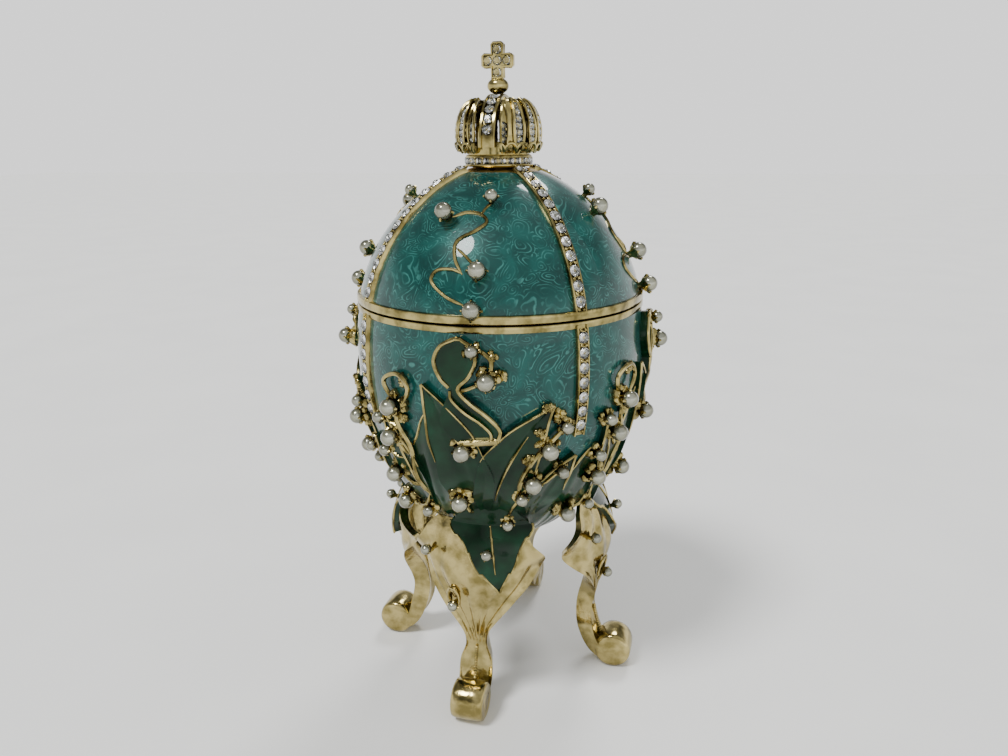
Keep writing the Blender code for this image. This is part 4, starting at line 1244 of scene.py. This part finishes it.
def leg_leaf_parts(turn):
    """The leaf that laps down over a flare, with its rim and its vein."""
    columns = 13
    count = LAP_ROWS + FLARE_ROWS
    top, under, left, right, spine = [], [], [], [], []
    for n in range(count):
        share = max(n - LAP_ROWS, 0) / (FLARE_ROWS - 1)
        middle = MM * (3.4 + 2.4 * share)
        wide = LAP_HALF_WIDTH * max(1 - share**1.5, 0.03) * (1 + 0.07 * math.sin(11 * share))
        wide *= 0.45 + 0.55 * min(n / LAP_ROWS, 1)
        row = lap_leg_row(n)
        if row > 7:
            wide = min(wide, LEG_ROWS[row][2] - middle)
        for at in spread(columns):
            hollow = 0.35 * MM * (1 - abs(at) ** 2)
            top.append(lap_point(turn, n, middle + wide * at, LAP_OUT - hollow))
            under.append(lap_point(turn, n, middle + wide * at, -0.6 * MM))
        left.append(lap_point(turn, n, middle - wide, LAP_OUT))
        right.append(lap_point(turn, n, middle + wide, LAP_OUT))
        spine.append(lap_point(turn, n, middle, LAP_OUT - 0.3 * MM))
    spine = spine[LAP_ROWS : count - 5]
    rim = left[LAP_ROWS:] + list(reversed(right[LAP_ROWS:]))
    trims = [tube(rim, 0.3 * MM, 7), tube(spine, tapered(LEAF_RIM, len(spine)), 6)]
    return closed_sheet(top, under, count, columns), trims


def leg_leaf_pieces():
    leaves = [leg_leaf_parts(side * PANEL_TURN) for side in range(4)]
    trimmed_pieces("leg_leaves", "leg_leaf_trim", leaves, LEG_NODES)


# The crown.


def dome_radius(share):
    """The dome's half width at a share of its height."""
    lift = math.acos(1 - 2 * min(max(share, 0), 1))
    base = CROWN_NECK_RADIUS + (CROWN_CREST_RADIUS - CROWN_NECK_RADIUS) * lift / math.pi
    middle = (CROWN_NECK_RADIUS + CROWN_CREST_RADIUS) / 2
    return base + (CROWN_DOME_RADIUS - middle) * math.sin(lift) ** 0.8


def dome_point(hand, turn, share, lift):
    """A place on one half dome: round from its side and up from its foot, lifted off its face."""
    radius = dome_radius(share) + lift
    return Vector((hand * max(radius * math.cos(turn), DOME_CUT), radius * math.sin(turn),
                   RING_TOP + CROWN_DOME_HEIGHT * share))


def dome_band_turn(n):
    return (n - (DOME_BANDS - 1) / 2) * DOME_BAND_TURN


def half_dome(hand):
    """One half of the dome, cut off flat at its slot, with pairs of raised edges and scallops."""
    rows, columns = 30, 61
    face, back = [], []
    for r in range(rows):
        share = 0.02 + 0.96 * r / (rows - 1)
        edge = math.acos(min(DOME_CUT / dome_radius(share), 0.999))
        for c in range(columns):
            turn = edge * (2 * c / (columns - 1) - 1)
            face.append(dome_point(hand, turn, share, -0.75 * MM))
            back.append(dome_point(hand, turn, share, -1.7 * MM))
    parts = [closed_sheet(face, back, rows, columns)]
    for n in range(DOME_BANDS):
        for shift in (-DOME_BAND_HALF, DOME_BAND_HALF):
            path = []
            for k in range(21):
                turn = dome_band_turn(n) + shift * math.sin(math.pi * (0.18 + 0.70 * k / 20))
                path.append(dome_point(hand, turn, 0.03 + 0.95 * k / 20, -0.30 * MM))
            parts.append(tube(path, 0.30 * MM, 7))
    for n in range(SCALLOPS):
        middle = (n - (SCALLOPS - 1) / 2) * SCALLOP_TURN
        path = []
        for k in range(11):
            swing = math.pi * k / 10
            turn = middle + SCALLOP_TURN / 2 * math.cos(swing)
            path.append(dome_point(hand, turn, 0.06 + 0.14 * math.sin(swing), 0.10 * MM))
        parts.append(tube(path, 0.34 * MM, 7))
    return parts


def crown_ring():
    """The ring on the lid: two rolled edges, with a channel for crystals between them."""
    low, high = CROWN_FOOT + GAP, RING_TOP
    edge, channel = CROWN_RING_RADIUS, CROWN_RING_RADIUS - CROWN_RING_CHANNEL
    profile = [(0.0, HEIGHT[0] + GAP + 0.2 * MM), (edge - 0.3 * MM, low), (edge, low + 0.3 * MM),
               (edge, low + 0.5 * MM), (channel, low + 0.7 * MM), (channel, high - 0.75 * MM),
               (edge, high - 0.6 * MM), (edge - 0.1 * MM, high - 0.25 * MM), (CROWN_NECK_RADIUS, high),
               (0.0, high)]
    return turned(profile, 96)


def crown_core():
    """The solid heart of the crown, between the feet of its half domes."""
    low = RING_TOP - 0.5 * MM
    profile = [(0.0, low), (CROWN_NECK_RADIUS - 0.2 * MM, low),
               (CROWN_NECK_RADIUS + 0.3 * MM, RING_TOP + 1.4 * MM),
               (CROWN_DOME_RADIUS * 0.80, RING_TOP + 2.6 * MM), (0.0, RING_TOP + 3.2 * MM)]
    return turned(profile, 72)


def arch_place(x, swing, out):
    """A place over the arch, swung from its front foot, out metres from its middle line."""
    return Vector((x, -(ARCH_REACH + out) * math.cos(swing),
                   ARCH_FOOT - ARCH_SINK + (ARCH_TOP - ARCH_FOOT + ARCH_SINK + out) * math.sin(swing)))


def crown_arch():
    """The arch from front to back, with a channel for crystals."""
    stations = 49
    section = (*ARCH_SECTION, *mirrored(ARCH_SECTION))
    points = []
    for i in range(stations):
        swing = math.pi * i / (stations - 1)
        points += [arch_place(x * ARCH_HALF_WIDTH, swing, out * MM) for x, out in section]
    return lofted(points, len(section))


def crown_orb():
    profile = []
    for i in range(17):
        swing = math.pi * i / 16
        profile.append((ORB_RADIUS * math.sin(swing), ORB_CENTRE - ORB_HALF_HEIGHT * math.cos(swing)))
    return turned(profile, 36)


def prism(outline, near, far):
    """A slab between two Y places from an (x, z) outline."""
    return lofted([Vector((x, y, z)) for y in (near, far) for x, z in outline], len(outline))


def crown_cross():
    """The cross: a slab with cut corners, and a raised rim on its front and back."""
    half, span, deep, cut = CROSS_ARM / 2, CROSS_SPAN / 2, CROSS_THICKNESS / 2, CROSS_CUT
    low, high = CROSS_CENTRE - half, CROSS_CENTRE + half
    top = CROSS_FOOT + CROSS_HEIGHT
    right = ((half, CROSS_FOOT), (half, low), (span - cut, low), (span, low + cut), (span, high - cut),
             (span - cut, high), (half, high), (half, top - cut), (half - cut, top))
    outline = [*right, *mirrored(right)]
    parts = [prism(outline, -deep + 0.45 * MM, deep - 0.45 * MM)]
    for y in (-deep + 0.3 * MM, deep - 0.3 * MM):
        loop = [Vector((x * 0.88, y, CROSS_CENTRE + (z - CROSS_CENTRE) * 0.93)) for x, z in outline]
        loop.append(loop[0])
        parts.append(tube(loop, 0.3 * MM, 6, [Vector((0, 1, 0))] * len(loop)))
    return parts


def cross_crystals():
    crystals = []
    for front in (-1, 1):
        y = front * (CROSS_THICKNESS / 2 - 0.30 * MM)
        for x, rise in CROSS_CRYSTALS:
            centre = Vector((x * MM, y, CROSS_CENTRE + rise * MM))
            crystals.append((centre, Vector((0, front, 0)), UP, 0.95 * MM))
    return crystals


def ring_crystals():
    crystals = []
    for k in range(RING_CRYSTALS):
        angle = 2 * math.pi * k / RING_CRYSTALS
        centre = around_axis(angle, CROWN_RING_RADIUS - 0.3 * MM, CROWN_FOOT + GAP + 1.25 * MM)
        crystals.append((centre, around_axis(angle, 1, 0), UP, 0.90 * MM))
    return crystals


def arch_crystals():
    """Crystals over the arch, but for its feet and the place under the orb."""
    crystals = []
    for k in range(ARCH_CRYSTALS):
        swing = math.pi * (k + 0.5) / ARCH_CRYSTALS
        if not 0.06 < swing / math.pi < 0.94 or abs(swing - math.pi / 2) < 0.22:
            continue
        out = Vector((0, -math.cos(swing), math.sin(swing)))
        crystals.append((arch_place(0, swing, ARCH_CRYSTAL_OUT), out, Vector((1, 0, 0)), 1.02 * MM))
    return crystals


def dome_crystals():
    """Crystals up the bands of both half domes, but for those that the slot cuts off."""
    crystals = []
    for hand in (-1, 1):
        for n in range(DOME_BANDS):
            turn = dome_band_turn(n)
            for m in range(DOME_BAND_CRYSTALS):
                share = 0.27 + 0.115 * m
                radius = dome_radius(share) - 0.50 * MM
                x = radius * math.cos(turn)
                if x < DOME_CUT + 0.3 * MM:
                    continue
                slope = (dome_radius(share + 0.02) - dome_radius(share - 0.02)) / (0.04 * CROWN_DOME_HEIGHT)
                out = Vector((hand * math.cos(turn), math.sin(turn), -slope)).normalized()
                centre = Vector((hand * x, radius * math.sin(turn), RING_TOP + CROWN_DOME_HEIGHT * share))
                crystals.append((centre, out, UP, 0.82 * MM))
    return crystals


def crown_piece():
    parts = [crown_ring(), crown_core(), *half_dome(-1), *half_dome(1)]
    parts += [crown_arch(), crown_orb(), *crown_cross()]
    piece("crown_casting", parts, GOLD, ["crown"], 35)


def small_pieces(rib_crystals, rib_beads, leg_beads):
    """The crystals with their foils, and the beads."""
    crystal, foil = crystal_shape(), foil_shape()
    crown_crystals = cross_crystals() + ring_crystals() + arch_crystals() + dome_crystals()
    for name, places in (("rib", rib_crystals), ("crown", crown_crystals)):
        scatter(name + "_crystals", crystal, places, CRYSTAL)
        scatter(name + "_crystal_foils", foil, places, FOIL)
    bead = ball_shape("bead_ball", 8, 5)
    scatter("rib_beads", bead, rib_beads, GOLD)
    scatter("leg_beads", bead, leg_beads, LEG_GOLD)


# The studio.


def floor_piece():
    size = 3.0
    corners = [(-size, -size, 0), (size, -size, 0), (size, size, 0), (-size, size, 0)]
    floor = placed(mesh_object("floor", corners, [(0, 1, 2, 3)]))
    floor.data.materials.append(paper_finish())


def studio_world():
    """A pale surround, bright low down and grey above, so that the gloss has something to show."""
    world = bpy.data.worlds.new("studio")
    world.use_nodes = True
    nodes, link = world.node_tree.nodes, world.node_tree.links.new
    back = nodes["Background"]
    back.inputs["Strength"].default_value = 1.35
    direction = nodes.new("ShaderNodeTexCoord")
    split = nodes.new("ShaderNodeSeparateXYZ")
    fade = nodes.new("ShaderNodeValToRGB")
    stops = ((0.16, (1.0, 1.0, 1.0, 1)), (0.42, (0.19, 0.195, 0.195, 1)))
    for element, (place, colour) in zip(fade.color_ramp.elements, stops):
        element.position = place
        element.color = colour
    link(direction.outputs["Generated"], split.inputs[0])
    link(split.outputs["Z"], fade.inputs["Fac"])
    link(fade.outputs["Color"], back.inputs["Color"])
    bpy.context.scene.world = world


def studio_lights():
    # name, where it shines from, spread in degrees, strength
    for name, at, spread, strength in (
        ("key_light", (-0.30, -0.40, 0.80), 15, 2.5),
        ("fill_light", (0.60, -0.40, 0.55), 100, 0.9),
        ("back_light", (0.05, 0.55, 0.70), 16, 1.2),
    ):
        lamp = bpy.data.lights.new(name, "SUN")
        lamp.angle = math.radians(spread)
        lamp.energy = strength
        made = placed(bpy.data.objects.new(name, lamp))
        made.location = at
        made.rotation_euler = (-Vector(at)).to_track_quat("-Z", "Y").to_euler()


def camera():
    """The photo's viewing angle."""
    away, height, azimuth = 175.2 * MM, 125.07 * MM, 0.269
    pitch, roll, yaw = 0.295, -0.009, -0.004
    across = Vector((math.cos(yaw), math.sin(yaw), 0))
    ahead = Vector((-math.sin(yaw), math.cos(yaw), 0))
    look = ahead * math.cos(pitch) - Vector((0, 0, math.sin(pitch)))
    rise = ahead * math.sin(pitch) + Vector((0, 0, math.cos(pitch)))
    right = across * math.cos(roll) + rise * math.sin(roll)
    up = rise * math.cos(roll) - across * math.sin(roll)
    turn = Matrix.Rotation(azimuth, 3, "Z")
    axes = Matrix((turn @ right, turn @ up, turn @ -look)).transposed()
    data = bpy.data.cameras.new("camera")
    data.sensor_width = 36.0
    data.lens = 27.83
    data.clip_start = 0.01
    made = placed(bpy.data.objects.new("camera", data))
    made.matrix_world = Matrix.Translation(turn @ Vector((0, -away, height))) @ axes.to_4x4()
    bpy.context.scene.camera = made


def main():
    camera()
    floor_piece()
    studio_world()
    studio_lights()
    lid_pieces()
    base_pieces()
    band_pieces()
    rib_crystals, rib_beads = rib_pieces()
    leaf_bed_pieces()
    leaf_pieces()
    stem_pieces()
    pearl_pieces()
    leg_beads = leg_pieces()
    leg_leaf_pieces()
    crown_piece()
    small_pieces(rib_crystals, rib_beads, leg_beads)
    bpy.context.view_layer.update()


main()
